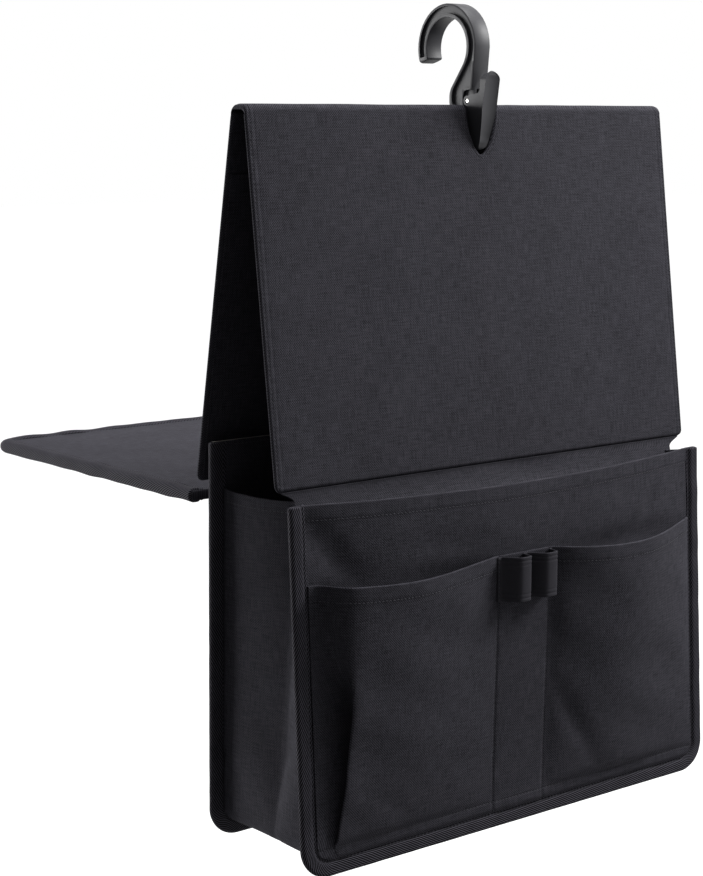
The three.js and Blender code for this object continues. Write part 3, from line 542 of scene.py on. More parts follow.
def filled_mesh(points, corners, starts, uvs=None):
    """A smooth mesh of the bag's points. corners names the points of one face after another,
    and starts tells where in that list each face begins."""
    mesh = bpy.data.meshes.new("piece")
    mesh.vertices.add(len(points))
    mesh.vertices.foreach_set("co", to_frame(points).ravel())
    mesh.loops.add(len(corners))
    mesh.loops.foreach_set("vertex_index", corners)
    mesh.polygons.add(len(starts))
    mesh.polygons.foreach_set("loop_start", starts)
    mesh.update(calc_edges=True)
    if uvs is not None:
        layer = mesh.uv_layers.new(name="cloth")
        layer.uv.foreach_set("vector", (uvs * MM).ravel())
    mesh.validate()
    mesh.shade_smooth()
    return mesh


def put(name, mesh, finish, body=None, nodes=()):
    """Puts a mesh into the scene as one piece, in place of CAD nodes. It rides on a body when
    one is given, and on none when it lies between two."""
    mesh.name = name
    mesh.materials.append(finish)
    thing = added(name, mesh)
    if body:
        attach(thing, body)
    if nodes:
        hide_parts(*nodes)
    return thing


class Patches:
    """Grids of points that join into one mesh wherever their points coincide."""

    JOIN = 0.004  # points closer than about this, in millimetres, become one

    def __init__(self):
        self.points = []
        self.uvs = []
        self.quads = []
        self.count = 0

    def add(self, points, uv, flipped=False):
        """Adds a grid of rows by columns. Its faces look along columns crossed with rows."""
        rows, columns = points.shape[:2]
        number = np.arange(rows * columns).reshape(rows, columns) + self.count
        a, b = number[:-1, :-1], number[:-1, 1:]
        c, d = number[1:, 1:], number[1:, :-1]
        order = (a, d, c, b) if flipped else (a, b, c, d)
        self.quads.append(np.stack(order, axis=-1).reshape(-1, 4))
        self.points.append(points.reshape(-1, 3))
        self.uvs.append(uv.reshape(-1, 2))
        self.count += rows * columns
        return self

    def turn_over(self):
        """Makes the faces added so far look the other way."""
        self.quads = [quads[:, ::-1] for quads in self.quads]

    def mesh(self):
        """The joined mesh. Faces that shrink to a line are left out."""
        points = np.concatenate(self.points)
        uvs = np.concatenate(self.uvs)
        quads = np.concatenate(self.quads)
        keys = np.round(points / self.JOIN).astype(np.int64)
        _, first, same = np.unique(keys, axis=0, return_index=True, return_inverse=True)
        corners = same.reshape(-1)[quads]
        kept = corners != np.roll(corners, -1, axis=1)
        crossed = (corners[:, 0] == corners[:, 2]) | (corners[:, 1] == corners[:, 3])
        whole = (kept.sum(axis=1) >= 3) & ~crossed
        corners, kept, quads = corners[whole], kept[whole], quads[whole]
        starts = np.concatenate([[0], np.cumsum(kept.sum(axis=1))[:-1]])
        return filled_mesh(points[first], corners[kept], starts, uvs[quads[kept]])


class Slab(Patches):
    """A closed sheet: both faces stand half off the middle, and meet where half is zero.
    near and far are added to the faces along and against the normal, as for a groove."""

    BORDERS = {
        "first_row": (slice(0, 1), slice(None), True),
        "last_row": (slice(-1, None), slice(None), False),
        "first_column": (slice(None), slice(0, 1), False),
        "last_column": (slice(None), slice(-1, None), True),
    }

    def __init__(self, middle, normal, half, uv, near=0.0, far=0.0):
        super().__init__()
        self.normal = normal
        self.near = middle + normal * np.where(half > 0, half + near, 0)[..., None]
        self.far = middle - normal * np.where(half > 0, half + far, 0)[..., None]
        self.mark = uv
        self.add(self.near, uv)
        self.add(self.far, uv, flipped=True)

    def close(self, *borders, only=slice(None)):
        """Closes borders where the sheet keeps its thickness."""
        for border in borders:
            row, column, flipped = self.BORDERS[border]
            sides = [grid[row, column].reshape(-1, 3)[only] for grid in (self.near, self.far)]
            mark = self.mark[row, column].reshape(-1, 2)[only]
            self.add(np.stack(sides), np.stack([mark, mark]), flipped)


class Seams:
    """Rows of stitches of one body, kept until they are made into one mesh of thread."""

    SHARE = np.array([0.0, 0.2, 0.8, 1.0])  # of a stitch's length
    LIFT = np.array([-0.2, 0.12, 0.12, -0.2])
    GIRTH = np.array([0.6, 1.0, 1.0, 0.6])
    SIDES = 6

    def __init__(self):
        self.strands = []

    def add(self, path, facing, pitch=3.0, length=2.3, radius=0.24):
        """Stitches along a path of points, whose cloth faces the given way there."""
        gaps = np.linalg.norm(np.diff(path, axis=0), axis=1)
        run = np.concatenate([[0], np.cumsum(gaps)])
        count = int(run[-1] / pitch)
        first = (np.arange(count) + 0.5) * run[-1] / count - length / 2
        places = first[:, None] + length * self.SHARE
        line = np.stack([np.interp(places, run, part) for part in path.T], axis=-1)
        out = np.stack([np.interp(places, run, part) for part in facing.T], axis=-1)
        out /= np.linalg.norm(out, axis=-1, keepdims=True)
        side = np.cross(line[:, -1:] - line[:, :1], out)
        side /= np.linalg.norm(side, axis=-1, keepdims=True)
        turn = np.arange(self.SIDES) * TAU / self.SIDES
        girth = radius * self.GIRTH[:, None]
        high = (self.LIFT[:, None] + girth * np.sin(turn))[..., None]
        wide = (girth * np.cos(turn))[..., None]
        self.strands.append(line[:, :, None] + out[:, :, None] * high + side[:, :, None] * wide)

    def follow(self, sheet, rows, columns, **stitch):
        """Stitches along a row or a column of the near face of a sheet."""
        self.add(sheet.near[rows, columns], sheet.normal[rows, columns], **stitch)

    def made(self, name, body=None):
        """One piece for all the stitches: four rings of points each, and closed ends."""
        strands = np.concatenate(self.strands)
        ring = np.arange(self.SIDES)
        after = (ring + 1) % self.SIDES
        band = np.stack([ring, after, after + self.SIDES, ring + self.SIDES], axis=-1)
        bands = [band + self.SIDES * step for step in range(3)]
        ends = np.array([[3, 2, 1, 0], [5, 4, 3, 0], [18, 19, 20, 21], [18, 21, 22, 23]])
        stitch = np.concatenate([*bands, ends])
        quads = np.arange(len(strands))[:, None, None] * 4 * self.SIDES + stitch
        mesh = filled_mesh(strands.reshape(-1, 3), quads.ravel(), np.arange(0, quads.size, 4))
        return put(name, mesh, THREAD, body)


SEAMS = {body: Seams() for body in ("bag_front", "bag_back", "flap")}


def nearest(values, value):
    return int(np.argmin(np.abs(values - value)))


# Steps from an edge inwards, fine enough for its rounding and the grooves of its seams
EDGE_STEPS = np.array([
    0, 0.12, 0.35, 0.7, 1.15, 1.6, 2.1, 2.5, 2.9, 3.4, 4.2, 5.0, 5.6, 6.1, 6.7, 7.6,
])


def spaced(start, end, coarse, fine_start=True, fine_end=True):
    """Places from start to end: fine at the edges that ask for it, and coarse between."""
    low = start + (EDGE_STEPS if fine_start else np.array([0.0]))
    high = end - (EDGE_STEPS[::-1] if fine_end else np.array([0.0]))
    count = max(1, int(math.ceil((high[0] - low[-1]) / coarse)))
    between = np.linspace(low[-1], high[0], count + 1)[1:-1]
    return np.concatenate([low, between, high])


def wall_point(wall, x, height, depth):
    """A point of a sloping wall: x across, height up along it, depth through it to the rear."""
    lean = math.asin((wall["top"] - wall["foot"]) / wall["length"])
    y = wall["foot"] + height * math.sin(lean) + depth * math.cos(lean)
    z = height * math.cos(lean) - depth * math.sin(lean)
    return joined(x, y, z)


def cloth_waves(x, height, seed, size, reach):
    """Low soft swells over a sheet: the sum of a few plain waves in fixed directions."""
    draw = np.random.default_rng(seed)
    total = np.zeros(np.broadcast(x, height).shape)
    for _ in range(6):
        angle = draw.uniform(0, math.pi)
        length = size * draw.uniform(0.6, 1.8)
        phase = draw.uniform(0, TAU)
        way = x * math.cos(angle) + height * math.sin(angle)
        total = total + np.sin(way * TAU / length + phase)
    return reach * total / 3


# Upper panels and ridge

PANEL_GRID = 4.5
SHOULDER_ROWS = np.arange(8.4, 20, 0.9)  # distances down the face with closer rows
PANEL_STITCH = 2.6  # from an edge of a panel, or of the slot, to its stitches
COVER_ROUND = 1.7  # rounding of the edges of the cover
FRONT_FOOT_ROUND = 3.0  # length over which the front cover closes at its foot
SLOT_NEAR = 15.0  # distances from the slot are worked out up to about here
RIDGE_END_DROP = 3.2


def panel_profile(side):
    """Side view of a panel's outer face, as distance along it, Y, Z and its outward normal.
    It starts at the middle of the ridge, runs level, turns down round the shoulder and then
    goes straight down the slope of the panel."""
    panel = PANELS[side]
    run, drop = panel["foot"][0] - panel["axis"], AXIS_Z - panel["foot"][1]
    lean = abs(math.atan2(run, drop))
    normal = np.array([side * math.cos(lean), math.sin(lean)])
    down = np.array([side * math.sin(lean), -math.cos(lean)])
    face = np.array([panel["axis"], AXIS_Z]) + normal * PANEL_STACK / 2
    centre_z = RIDGE_TOP - RIDGE_ROUND
    centre_y = (face @ normal - RIDGE_ROUND - centre_z * normal[1]) / normal[0]
    turn = np.linspace(math.pi / 2, lean, 13)
    facing = np.stack([side * np.cos(turn), np.sin(turn)], axis=-1)
    arc = np.array([centre_y, centre_z]) + RIDGE_ROUND * facing
    foot = np.array(panel["foot"]) + normal * PANEL_STACK / 2
    line = np.concatenate([[[RIDGE_MIDDLE, RIDGE_TOP]], arc, foot[None]])
    facing = np.concatenate([[[0, 1]], facing, normal[None]])
    steps = np.linalg.norm(np.diff(line, axis=0), axis=1)
    distance = np.concatenate([[0], np.cumsum(steps)])
    at_axis = distance[-2] + np.linalg.norm(face - arc[-1])
    return dict(distance=distance, line=line, facing=facing, down=down, at_axis=at_axis,
                length=distance[-1], shoulder=distance[-2])


def slot_reach(x, profile):
    """How far down the panel's face the ridge slot reaches at x: a superellipse's depth,
    counted from the ridge and carried over the shoulder."""
    across = clamp01(np.abs(x - HOOK_X) / np.where(x < HOOK_X, SLOT_LEFT, SLOT_RIGHT))
    depth = SLOT_DEPTH * (1 - across ** SLOT_POWER) ** (1 / SLOT_POWER)
    over = RIDGE_TOP - AXIS_Z
    down_face = depth - over + profile["at_axis"]
    round_shoulder = depth * profile["at_axis"] / over
    return np.where(depth >= over, down_face, round_shoulder)


def slot_columns():
    """Places across the slot, close together where its sides are steep."""
    cosine = np.cos(np.linspace(0, math.pi, 61))
    share = -np.sign(cosine) * np.abs(cosine) ** (2 / SLOT_POWER)
    return HOOK_X + share * np.where(share < 0, SLOT_LEFT, SLOT_RIGHT)


def slot_distance(x, along, profile):
    """Distance of points of the unrolled face from the edge of the slot."""
    columns = slot_columns()
    edge_x = np.concatenate([columns[:1], columns, columns[-1:]])
    edge_s = np.concatenate([[0], slot_reach(columns, profile), [0]])
    share = np.linspace(0, len(edge_x) - 1, 4 * len(edge_x))
    edge = [np.interp(share, np.arange(len(edge_x)), part) for part in (edge_x, edge_s)]
    far = np.full(x.shape, 100.0)
    beside = np.abs(x - HOOK_X) < SLOT_RIGHT + SLOT_NEAR
    near = beside & (along < profile["at_axis"] + SLOT_DEPTH + SLOT_NEAR)
    gaps = np.hypot(x[near][:, None] - edge[0], along[near][:, None] - edge[1])
    far[near] = gaps.min(axis=1)
    return far


def outer_face(x, along, profile):
    """Points of the unrolled outer face of a panel and the way it faces. The ends of the ridge
    are rounded down."""
    y, z, facing_y, facing_z = (
        np.interp(along, profile["distance"], part)
        for part in (*profile["line"].T, *profile["facing"].T)
    )
    facing = joined(np.zeros_like(x), facing_y, facing_z)
    facing /= np.linalg.norm(facing, axis=-1, keepdims=True)
    end = np.sqrt(clamp01((PANEL_HALF - np.abs(x)) / RIDGE_ROUND))
    z = z - RIDGE_END_DROP * (1 - end * (2 - end)) * smooth((16 - along) / 8)
    return joined(x, y, z), facing


def slot_seam(profile, gap):
    """Places of the stitches round the slot: its edge, moved outwards by a gap."""
    edge = np.stack([slot_columns(), slot_reach(slot_columns(), profile)], axis=-1)
    way = np.gradient(edge, axis=0)
    out = np.stack([-way[:, 1], way[:, 0]], axis=-1) / np.linalg.norm(way, axis=1, keepdims=True)
    line = edge + out * gap
    return line[line[:, 1] > profile["shoulder"] / 2]


def edge_distance(side_gap, foot_gap, radius):
    """Distance from a side and a foot that meet in a rounded corner."""
    corner = radius - np.hypot(np.maximum(radius - side_gap, 0), np.maximum(radius - foot_gap, 0))
    plain = np.minimum(side_gap, foot_gap)
    return np.maximum(0, np.where((side_gap < radius) & (foot_gap < radius), corner, plain))


def panel_cover(side, name, node):
    """Cloth and board of one panel, and its half of the ridge. Grid: columns across, rows down
    the unrolled face, with the first row on the ridge line or the edge of the slot."""
    profile = panel_profile(side)
    length = profile["length"]
    slot_start, slot_end = HOOK_X - SLOT_LEFT, HOOK_X + SLOT_RIGHT
    left = spaced(-PANEL_HALF, slot_start, PANEL_GRID)
    right = spaced(slot_end, PANEL_HALF, PANEL_GRID)
    columns = np.concatenate([left[:-1], slot_columns(), right[1:]])
    lower = spaced(SHOULDER_ROWS[-1], length, PANEL_GRID, fine_start=False)
    rows = np.concatenate([EDGE_STEPS, SHOULDER_ROWS, lower[1:]])
    x, down = np.meshgrid(columns, rows)
    top = np.where((x > slot_start) & (x < slot_end), slot_reach(x, profile), 0)
    along = top + down * (length - top) / length
    x = drawn_in(x, PANEL_HALF, length - along, PANEL_CORNER)
    side_gap = PANEL_HALF - np.abs(x)
    edge = edge_distance(side_gap, length - along, PANEL_CORNER)
    edge[:, 0] = 0
    edge[:, -1] = 0
    edge[-1] = 0
    slot = slot_distance(x, along, profile)
    slot[0] = np.where((x[0] >= slot_start) & (x[0] <= slot_end), 0, slot[0])
    free = np.minimum(edge, slot)
    outer, facing = outer_face(x, along, profile)
    deep = smooth((along - profile["shoulder"] + 1.5) / 3.5)
    thick = COVER_THIN + (COVER_DEEP - COVER_THIN) * deep
    foot = edge_fall(length - along, FRONT_FOOT_ROUND) if side < 0 else np.ones_like(along)
    half = thick / 2 * edge_fall(free, COVER_ROUND) * foot
    middle = outer - facing * (thick * (1 - foot / 2))[..., None]
    stitched = -0.3 * ridge_line(np.minimum(slot, side_gap), PANEL_STITCH, 0.5)
    groove = stitched - 0.22 * ridge_line(side_gap, 6.1, 0.6)
    swell = cloth_waves(x, along, 11 + side, 90, 0.12) * smooth((free - 8) / 20)
    cover = Slab(middle, facing, half, joined(x, along), near=groove + swell)
    cover.close("first_row", only=x[0] <= slot_start)
    cover.close("first_row", only=x[0] >= slot_end)
    if side > 0:
        cover.turn_over()
    cloth = put(name, cover.mesh(), CLOTH, nodes=(node, "ridge_fold_left", "ridge_fold_right"))
    seams = Seams()
    seams.follow(cover, slice(20, -7), 7)
    seams.follow(cover, slice(-8, 19, -1), -8)
    rim, rim_facing = outer_face(*slot_seam(profile, PANEL_STITCH).T, profile)
    seams.add(rim - rim_facing * 0.3, rim_facing)
    turn = 0.5 * (profile["line"][-2][0] + RIDGE_MIDDLE)
    for thing in (cloth, seams.made(name + "_thread")):
        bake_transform(thing)


def panel_lining(side, name, body, node):
    """Thin lining sewn to the inner face of a panel, a little inside its edges. Its middle lies
    halfway between the board and 0.1 mm beyond the thickness of the panel."""
    panel = PANELS[side]
    profile = panel_profile(side)
    half_width = PANEL_HALF - LINING_INSET
    columns = spaced(-half_width, half_width, 9)
    rows = spaced(SLOT_DEPTH + 4, profile["length"] - profile["at_axis"] - LINING_INSET, 9)
    x, down = np.meshgrid(columns, rows)
    facing = profile["facing"][-1]
    start = np.array([panel["axis"], AXIS_Z]) - facing * (COVER_DEEP + 0.1) / 2
    y, z = (start[part] + profile["down"][part] * down for part in (0, 1))
    edge = np.minimum(half_width - np.abs(x), np.minimum(down - rows[0], rows[-1] - down))
    half = LINING_HALF * edge_fall(edge, 0.5)
    normal = np.broadcast_to([0, facing[0], facing[1]], (*x.shape, 3))
    groove = -0.2 * ridge_line(edge, 2.5, 0.5)
    lining = Slab(joined(x, y, z), normal, half, joined(x, down), far=groove)
    cloth = put(name, lining.mesh(), CLOTH, body, (node,))


panel_cover(-1, "front_panel_cloth", "front_panel_cover")
panel_cover(1, "rear_panel_cloth", "rear_panel_cover")
panel_lining(-1, "front_panel_inner_cloth", "front_panel", "front_panel_lining")
panel_lining(1, "rear_panel_inner_cloth", "rear_panel", "rear_panel_lining")


# Walls of the bag

# Shallow folds of the front wall: depth, X and height of both ends, and width
WALL_FOLDS = (
    (3.0, (-188, 246), (-134, 182), 11),
    (1.6, (144, 228), (120, 196), 5),
    (0.9, (-110, 214), (-20, 204), 9),
    (2.6, (34, 187), (172, 191), 9),
    (2.0, (-112, 186), (-24, 189), 8),
)
# Height along the wall and X of the sharp edge of the left pocket's tuck
TUCK_LINE = ((0, -178.0), (15, -165.0), (45, -161.5), (71, -159.3), (123, -155.6), (193, -158.5))
BACK_SEAM = 3.0  # from the top of the back wall to its stitches


def bowed(x):
    """A parabola that is 1 at the middle of the bag and 0 at its side bindings."""
    return clamp01(1 - (x / CLEAR_HALF) ** 2)


def wall_belly(x, height):
    """How far the front wall stands forward of its binding: most at the middle of the hem."""
    up = clamp01((height - BINDING_WIDTH) / (FRONT["length"] - BINDING_WIDTH))
    return WALL_BOW * bowed(x) * smooth(up ** 0.8)


def tuck_dip(x, height):
    """How far the soft wall gives way behind the left pocket's tuck."""
    beside = ridge_line(x, -163, 9)
    return 5.5 * beside * smooth((height - 30) / 60) * smooth((POCKET_HEIGHT + 6 - height) / 30)


def hemmed(rows, top):
    """The rows of a sheet, closer together round the stitches of the hem at its top."""
    hem = top - np.arange(HEM_WIDTH + 2, HEM_WIDTH - 2, -0.35)
    return np.unique(np.concatenate([rows[rows < hem[0] - 1], hem, rows[rows > hem[-1] + 0.3]]))


def turned_hem(below, thick, width=HEM_WIDTH, stitches=HEM_STITCH, fullness=0.28):
    """Half the thickness of a sheet at a distance below its top, where its cloth is turned in
    and sewn down, and the groove of that seam."""
    turned = fullness * smooth((width - below) / 0.7)
    half = (thick / 2 + turned) * edge_fall(below, 0.9)
    return half, -fullness * ridge_line(below, stitches, 0.5)


def bound_grid(coarse, rows, radius):
    """X and height of the grid of a sheet whose sides and rounded foot go into a binding, and
    which of its columns lie clear of that binding."""
    columns = spaced(-SHEET_HALF, SHEET_HALF, coarse)
    x, height = np.meshgrid(columns, rows)
    x = drawn_in(x, SHEET_HALF, height - SHEET_INSET, radius - SHEET_INSET)
    return x, height, np.abs(columns) < CLEAR_HALF - 1


def front_wall():
    """The bellied front wall with its turned hem. Grid: columns across, rows up the slope."""
    top = FRONT["length"]
    rows = hemmed(spaced(SHEET_INSET, top, 4, fine_start=False), top)
    x, height, clear = bound_grid(4, rows, CORNER)
    waves = cloth_waves(x, height, 3, 110, 0.6)
    belly = wall_belly(x, height) + waves * bowed(x) * smooth((height - BINDING_WIDTH) / 60)
    for depth, start, end, width in WALL_FOLDS:
        belly = belly - depth * soft_fold(x, height, start, end, width)
    belly = belly - tuck_dip(x, height)
    sag = HEM_SAG * bowed(x) * smooth((height - SHEET_INSET) / (top - SHEET_INSET))
    middle = wall_point(FRONT, x, height - sag, -belly)
    half, groove = turned_hem(top - height, WALL_CLOTH)
    wall = Slab(middle, normals_of(middle), half, joined(x, height), near=groove)
    wall.close("first_row", "first_column", "last_column")
    cloth = put("front_wall_cloth", wall.mesh(), CLOTH, "bag_front", ("front_wall",))
    SEAMS["bag_front"].follow(wall, nearest(rows, top - HEM_STITCH), clear)


def tuck_edge(height):
    """X of the sharp edge of the left pocket's tuck at a height along the wall."""
    heights, places = zip(*TUCK_LINE)
    return np.interp(height, heights, places)


def rounded_corners(line, times):
    """Cuts the corners of a row of points again and again, so that they become curves."""
    for _ in range(times):
        a, b = line[:-1], line[1:]
        cut = np.stack([0.75 * a + 0.25 * b, 0.25 * a + 0.75 * b], axis=1)
        cut = cut.reshape(-1, *line.shape[1:])
        line = np.concatenate([line[:1], cut, line[-1:]])
    return line


def pocket_section(height):
    """X and stand-off of the pocket sheet across the bag, one row of points for each height.
    Left: flat from the binding to under the sharp edge of the tuck, up to that edge, and from
    there slowly down to the seam. Towards the mouth the tuck opens into one plain ramp.
    Middle: flat. Right: one soft swell."""
    up = clamp01((height - POCKET_SEAM) / (POCKET_HEIGHT - POCKET_SEAM))
    grown = up ** 0.8
    reach = POCKET_BULGE * grown + 3.0 * smooth((height - POCKET_SEAM) / 6)
    edge = CLEAR_HALF - 0.3
    fold = tuck_edge(height)
    under = 5.5 * (1 - smooth((height - 120) / 70)) * smooth(height / 40)
    opened = smooth((height - 95) / 85)
    tuck = [
        (-edge + 4.5, 0.1),
        (fold - 5, -0.1 * reach),
        (fold + 3 + 1.5 * under, -0.16 * reach),
        (fold + 6.5 + 1.5 * under, 0.2 * reach),
        (fold + 5 + 1.3 * under, 0.6 * reach + 0.3),
        (fold + 1.2 + 0.6 * under, 0.88 * reach + 0.4),
        (fold + 0.2, 0.99 * reach + 0.2),
        (fold + 0.9, 1.03 * reach + 0.5),
        (fold + 5, 1.05 * reach + 0.5),
    ]
    ramp = [
        (3.5, 0.0), (6.5, 0.04), (8.5, 0.2), (10.5, 0.44), (12.5, 0.68), (14.5, 0.86),
        (17, 0.97), (21, 1.03), (28, 1.05),
    ]
    points = [(-edge, 0.0)]
    for (x, stand), (run, rise) in zip(tuck, ramp):
        points.append((x + opened * (run - edge - x), stand + opened * (rise * reach - stand)))
    for share in (0.12, 0.25, 0.4, 0.55, 0.7, 0.82, 0.92):
        points.append((fold + share * (SEAM_LEFT - fold), reach * 1.05 * (1 - share ** 1.7)))
    points += [
        (SEAM_LEFT - 3, 0.5 * grown), (SEAM_LEFT, 0.0), (SEAM_LEFT + 3, 0.3), (0.0, 0.6),
        (SEAM_RIGHT - 3, 0.3), (SEAM_RIGHT, 0.0), (SEAM_RIGHT + 3, 0.5 * grown),
    ]
    for share in (0.08, 0.18, 0.3, 0.45, 0.6, 0.75, 0.86, 0.93, 0.97):
        swell = 1.02 * reach * np.sin(math.pi * share ** 0.85) ** 0.9
        points.append((SEAM_RIGHT + share * (edge - SEAM_RIGHT), swell))
    points += [(edge - 1, 0.1), (edge, 0.0)]
    line = np.stack([joined(x, stand, height)[..., :2] for x, stand in points])
    return rounded_corners(line, 2)


def mouth_sag(x):
    """How far a pocket's mouth hangs below its ends at x."""
    left = clamp01((x + CLEAR_HALF) / (SEAM_LEFT + CLEAR_HALF))
    right = clamp01((x - SEAM_RIGHT) / (CLEAR_HALF - SEAM_RIGHT))
    return 3.6 * np.sin(math.pi * left) ** 1.5 + 4.2 * np.sin(math.pi * right ** 0.9) ** 1.5


def pocket_sheet():
    """One sheet for all three pockets. Grid: columns along its bent section, rows up the wall."""
    rows = spaced(POCKET_FOOT, POCKET_HEIGHT, 3.5, fine_start=False)
    rows = np.union1d(rows, np.arange(POCKET_SEAM - 2, POCKET_SEAM + 5, 0.5))
    rows = hemmed(rows, POCKET_HEIGHT)
    section = pocket_section(rows)
    x, stand = section[..., 0].T, section[..., 1].T
    height = np.broadcast_to(rows[:, None], x.shape)
    drawn = corner_draw(height - POCKET_FOOT, CORNER - BINDING_WIDTH)
    x = x * ((CLEAR_HALF - drawn) / CLEAR_HALF)
    seat = WALL_CLOTH / 2 + 0.2 + POCKET_CLOTH / 2
    swell = cloth_waves(x, height, 5, 70, 0.8) * clamp01(stand / 6)
    swell = swell - 2.2 * soft_fold(x, height, (SEAM_RIGHT, 104), (76, 22), 7) * clamp01(stand / 4)
    swell = swell - 1.2 * soft_fold(x, height, (-150, 60), (-96, 20), 7)
    swell = swell - 1.2 * soft_fold(x, height, (-60, 172), (-112, 120), 10)
    sag = mouth_sag(x) * smooth((height - 40) / (POCKET_HEIGHT - 40))
    depth = wall_belly(x, height) + seat + stand + swell
    middle = wall_point(FRONT, x, height - sag, -depth)
    half, groove = turned_hem(POCKET_HEIGHT - height, POCKET_CLOTH)
    sewn_down = ridge_line(x, SEAM_LEFT, 0.8) + ridge_line(x, SEAM_RIGHT, 0.8)
    groove = groove - 0.6 * clamp01(sewn_down) - 0.4 * ridge_line(height, POCKET_SEAM, 0.6)
    across = run_across(middle)
    across = across - across.mean(axis=1, keepdims=True)
    sheet = Slab(middle, normals_of(middle), half, joined(across, height), near=groove)
    sheet.close("first_row", "first_column", "last_column")
    cloth = put("pocket_cloth", sheet.mesh(), CLOTH, "bag_front", ("pocket_sheet",))
    seams = SEAMS["bag_front"]
    foot_row = nearest(rows, POCKET_SEAM)
    seams.follow(sheet, foot_row, np.abs(section[:, foot_row, 0]) < CLEAR_HALF - 4)
    hem_row = nearest(rows, POCKET_HEIGHT - HEM_STITCH)
    for shown in (x[hem_row] < SEAM_LEFT, x[hem_row] > SEAM_RIGHT):
        seams.follow(sheet, hem_row, shown)
    for place in (SEAM_LEFT, SEAM_RIGHT):
        seams.follow(sheet, rows < LOOP_FOOT - 1, nearest(x[len(rows) // 2], place))


def back_wall():
    """The stiff back wall. Grid: columns across, rows up the slope."""
    top = BACK["length"]
    rows = spaced(SHEET_INSET, top, 8)
    x, height, clear = bound_grid(8, rows, CORNER)
    middle = wall_point(BACK, x, height, 0)
    half = PANEL_STACK / 2 * edge_fall(top - height, 1.8)
    groove = -0.3 * ridge_line(top - height, BACK_SEAM, 0.5)
    wall = Slab(middle, normals_of(middle), half, joined(x, height), near=groove, far=groove)
    wall.close("first_row", "first_column", "last_column")
    nodes = ("back_wall_cloth", "back_wall_lining")
    cover = put("back_wall_cover", wall.mesh(), CLOTH, "bag_back", nodes)
    SEAMS["bag_back"].follow(wall, nearest(rows, top - BACK_SEAM), clear)


front_wall()
pocket_sheet()
back_wall()


# Bindings

# From a binding's outer edge inwards, closer together at its stitches and its inner edge
TAPE_STEPS = np.array([
    3.2, 4.4, 5.6, 6.8, 7.8, 8.6, 9.1, 9.6, 10.1, 10.7, 11.3, 11.8, BINDING_WIDTH,
])


def binding_path(width, height, radius):
    """Along the outer edge of a binding: distance, X, height and the direction out, from the
    top of the left side down, round the corner, along the foot and up the right side."""
    straight = height - radius
    arc = math.pi / 2 * radius
    flat = width - 2 * radius
    whole = 2 * straight + 2 * arc + flat
    stops = np.concatenate([
        spaced(0, straight, 3, fine_end=False)[:-1],
        np.linspace(straight, straight + arc, 15)[:-1],
        np.linspace(straight + arc, whole / 2, int(flat / 6) + 1)[:-1],
    ])
    stops = np.concatenate([stops, [whole / 2], whole - stops[::-1]])
    turned = clamp01((stops - straight) / arc) * math.pi / 2
    turned = turned + clamp01((stops - straight - arc - flat) / arc) * math.pi / 2
    out_x, out_z = -np.cos(turned), -np.sin(turned)
    level = np.clip(stops - straight - arc, 0, flat)
    x = -width / 2 + radius + level + radius * out_x
    z = radius + radius * out_z
    z = z + np.maximum(straight - stops, 0) + np.maximum(stops - (whole - straight), 0)
    return stops, x, z, out_x, out_z


def tape_profile(thick, held):
    """Section of a folded tape as a closed line: how far inside the outer edge and how far off
    the middle. Outside: a round fold at the edge, flat sides that sink a little at the stitches
    and end on the cloth that they hold. Inside: the same line, one tape's thickness deeper."""
    radius = thick / 2
    turn = np.linspace(-math.pi / 2, math.pi / 2, 13)[1:-1]
    fold = np.stack([radius - radius * np.cos(turn), radius * np.sin(turn)], axis=-1)
    inner = np.concatenate([[radius], TAPE_STEPS[TAPE_STEPS > radius + 0.4]])
    sink = 0.8 * ridge_line(inner, BINDING_STITCH, 0.7)
    lip = held + TAPE_THICK * edge_fall(BINDING_WIDTH - inner, 0.4)
    side = lip + (radius - lip) * smooth((11.5 - inner) / 4.5) - sink
    left = np.stack([inner, -side], axis=-1)[::-1]
    right = np.stack([inner, side], axis=-1)
    outer = np.concatenate([left, fold, right])
    share = (radius - TAPE_THICK) / radius
    lining = np.stack([radius - (radius - outer[:, 0]) * share, outer[:, 1] * share], axis=-1)
    flat = outer[:, 0] > radius - 0.01
    sunk = np.sign(outer[:, 1]) * np.maximum(np.abs(outer[:, 1]) - TAPE_THICK, held)
    lining[flat] = np.stack([outer[:, 0], sunk], axis=-1)[flat]
    return np.concatenate([outer, lining[::-1], outer[:1]])


def binding(node, body, height, radius, thick, held, place, seed, slant=1):
    """Tape folded over the edges it joins: its section carried along the U of the edge. Its
    ends are pinched together, and it is a little uneven in breadth and in thickness."""
    along, x, z, out_x, out_z = binding_path(BAG_WIDTH, height, radius)
    section = tape_profile(thick, held)
    inside, off = section[:, 0], section[:, 1]
    ends = edge_fall(np.minimum(along, along[-1] - along), 1.4)
    wave = cloth_waves(along, 0, seed, 22, 1.0)
    draw = cloth_waves(along, 0, seed + 1, 30, 1.0)
    reach = inside[None] * (1 - 0.03 * draw)[:, None]
    across = x[:, None] - out_x[:, None] * reach
    up = z[:, None] - out_z[:, None] * reach
    depth = off[None] * (1 + 0.09 * wave[:, None]) * ends[:, None]
    across = across + (x[:, None] - out_x[:, None] * 4 - across) * (1 - ends[:, None])
    points = place(across, up, depth)
    steps = np.concatenate([[0], np.cumsum(np.hypot(np.diff(inside), np.diff(off)))])
    u, v = np.meshgrid(steps * slant, along)
    mesh = Patches().add(points, joined(u, v)).mesh()
    tape = put(node + "_tape", mesh, TAPE, body, (node,))
    straight_up = place(across, up, depth + 1) - points
    outside = len(section) // 2
    for part in (slice(0, outside // 2), slice(outside // 2, outside)):
        column = part.start + nearest(inside[part], BINDING_STITCH)
        way = straight_up[:, column] * np.sign(off[column])
        SEAMS[body].add(points[2:-2, column], way[2:-2], pitch=3.2, length=2.4)
    along[-1] * MM


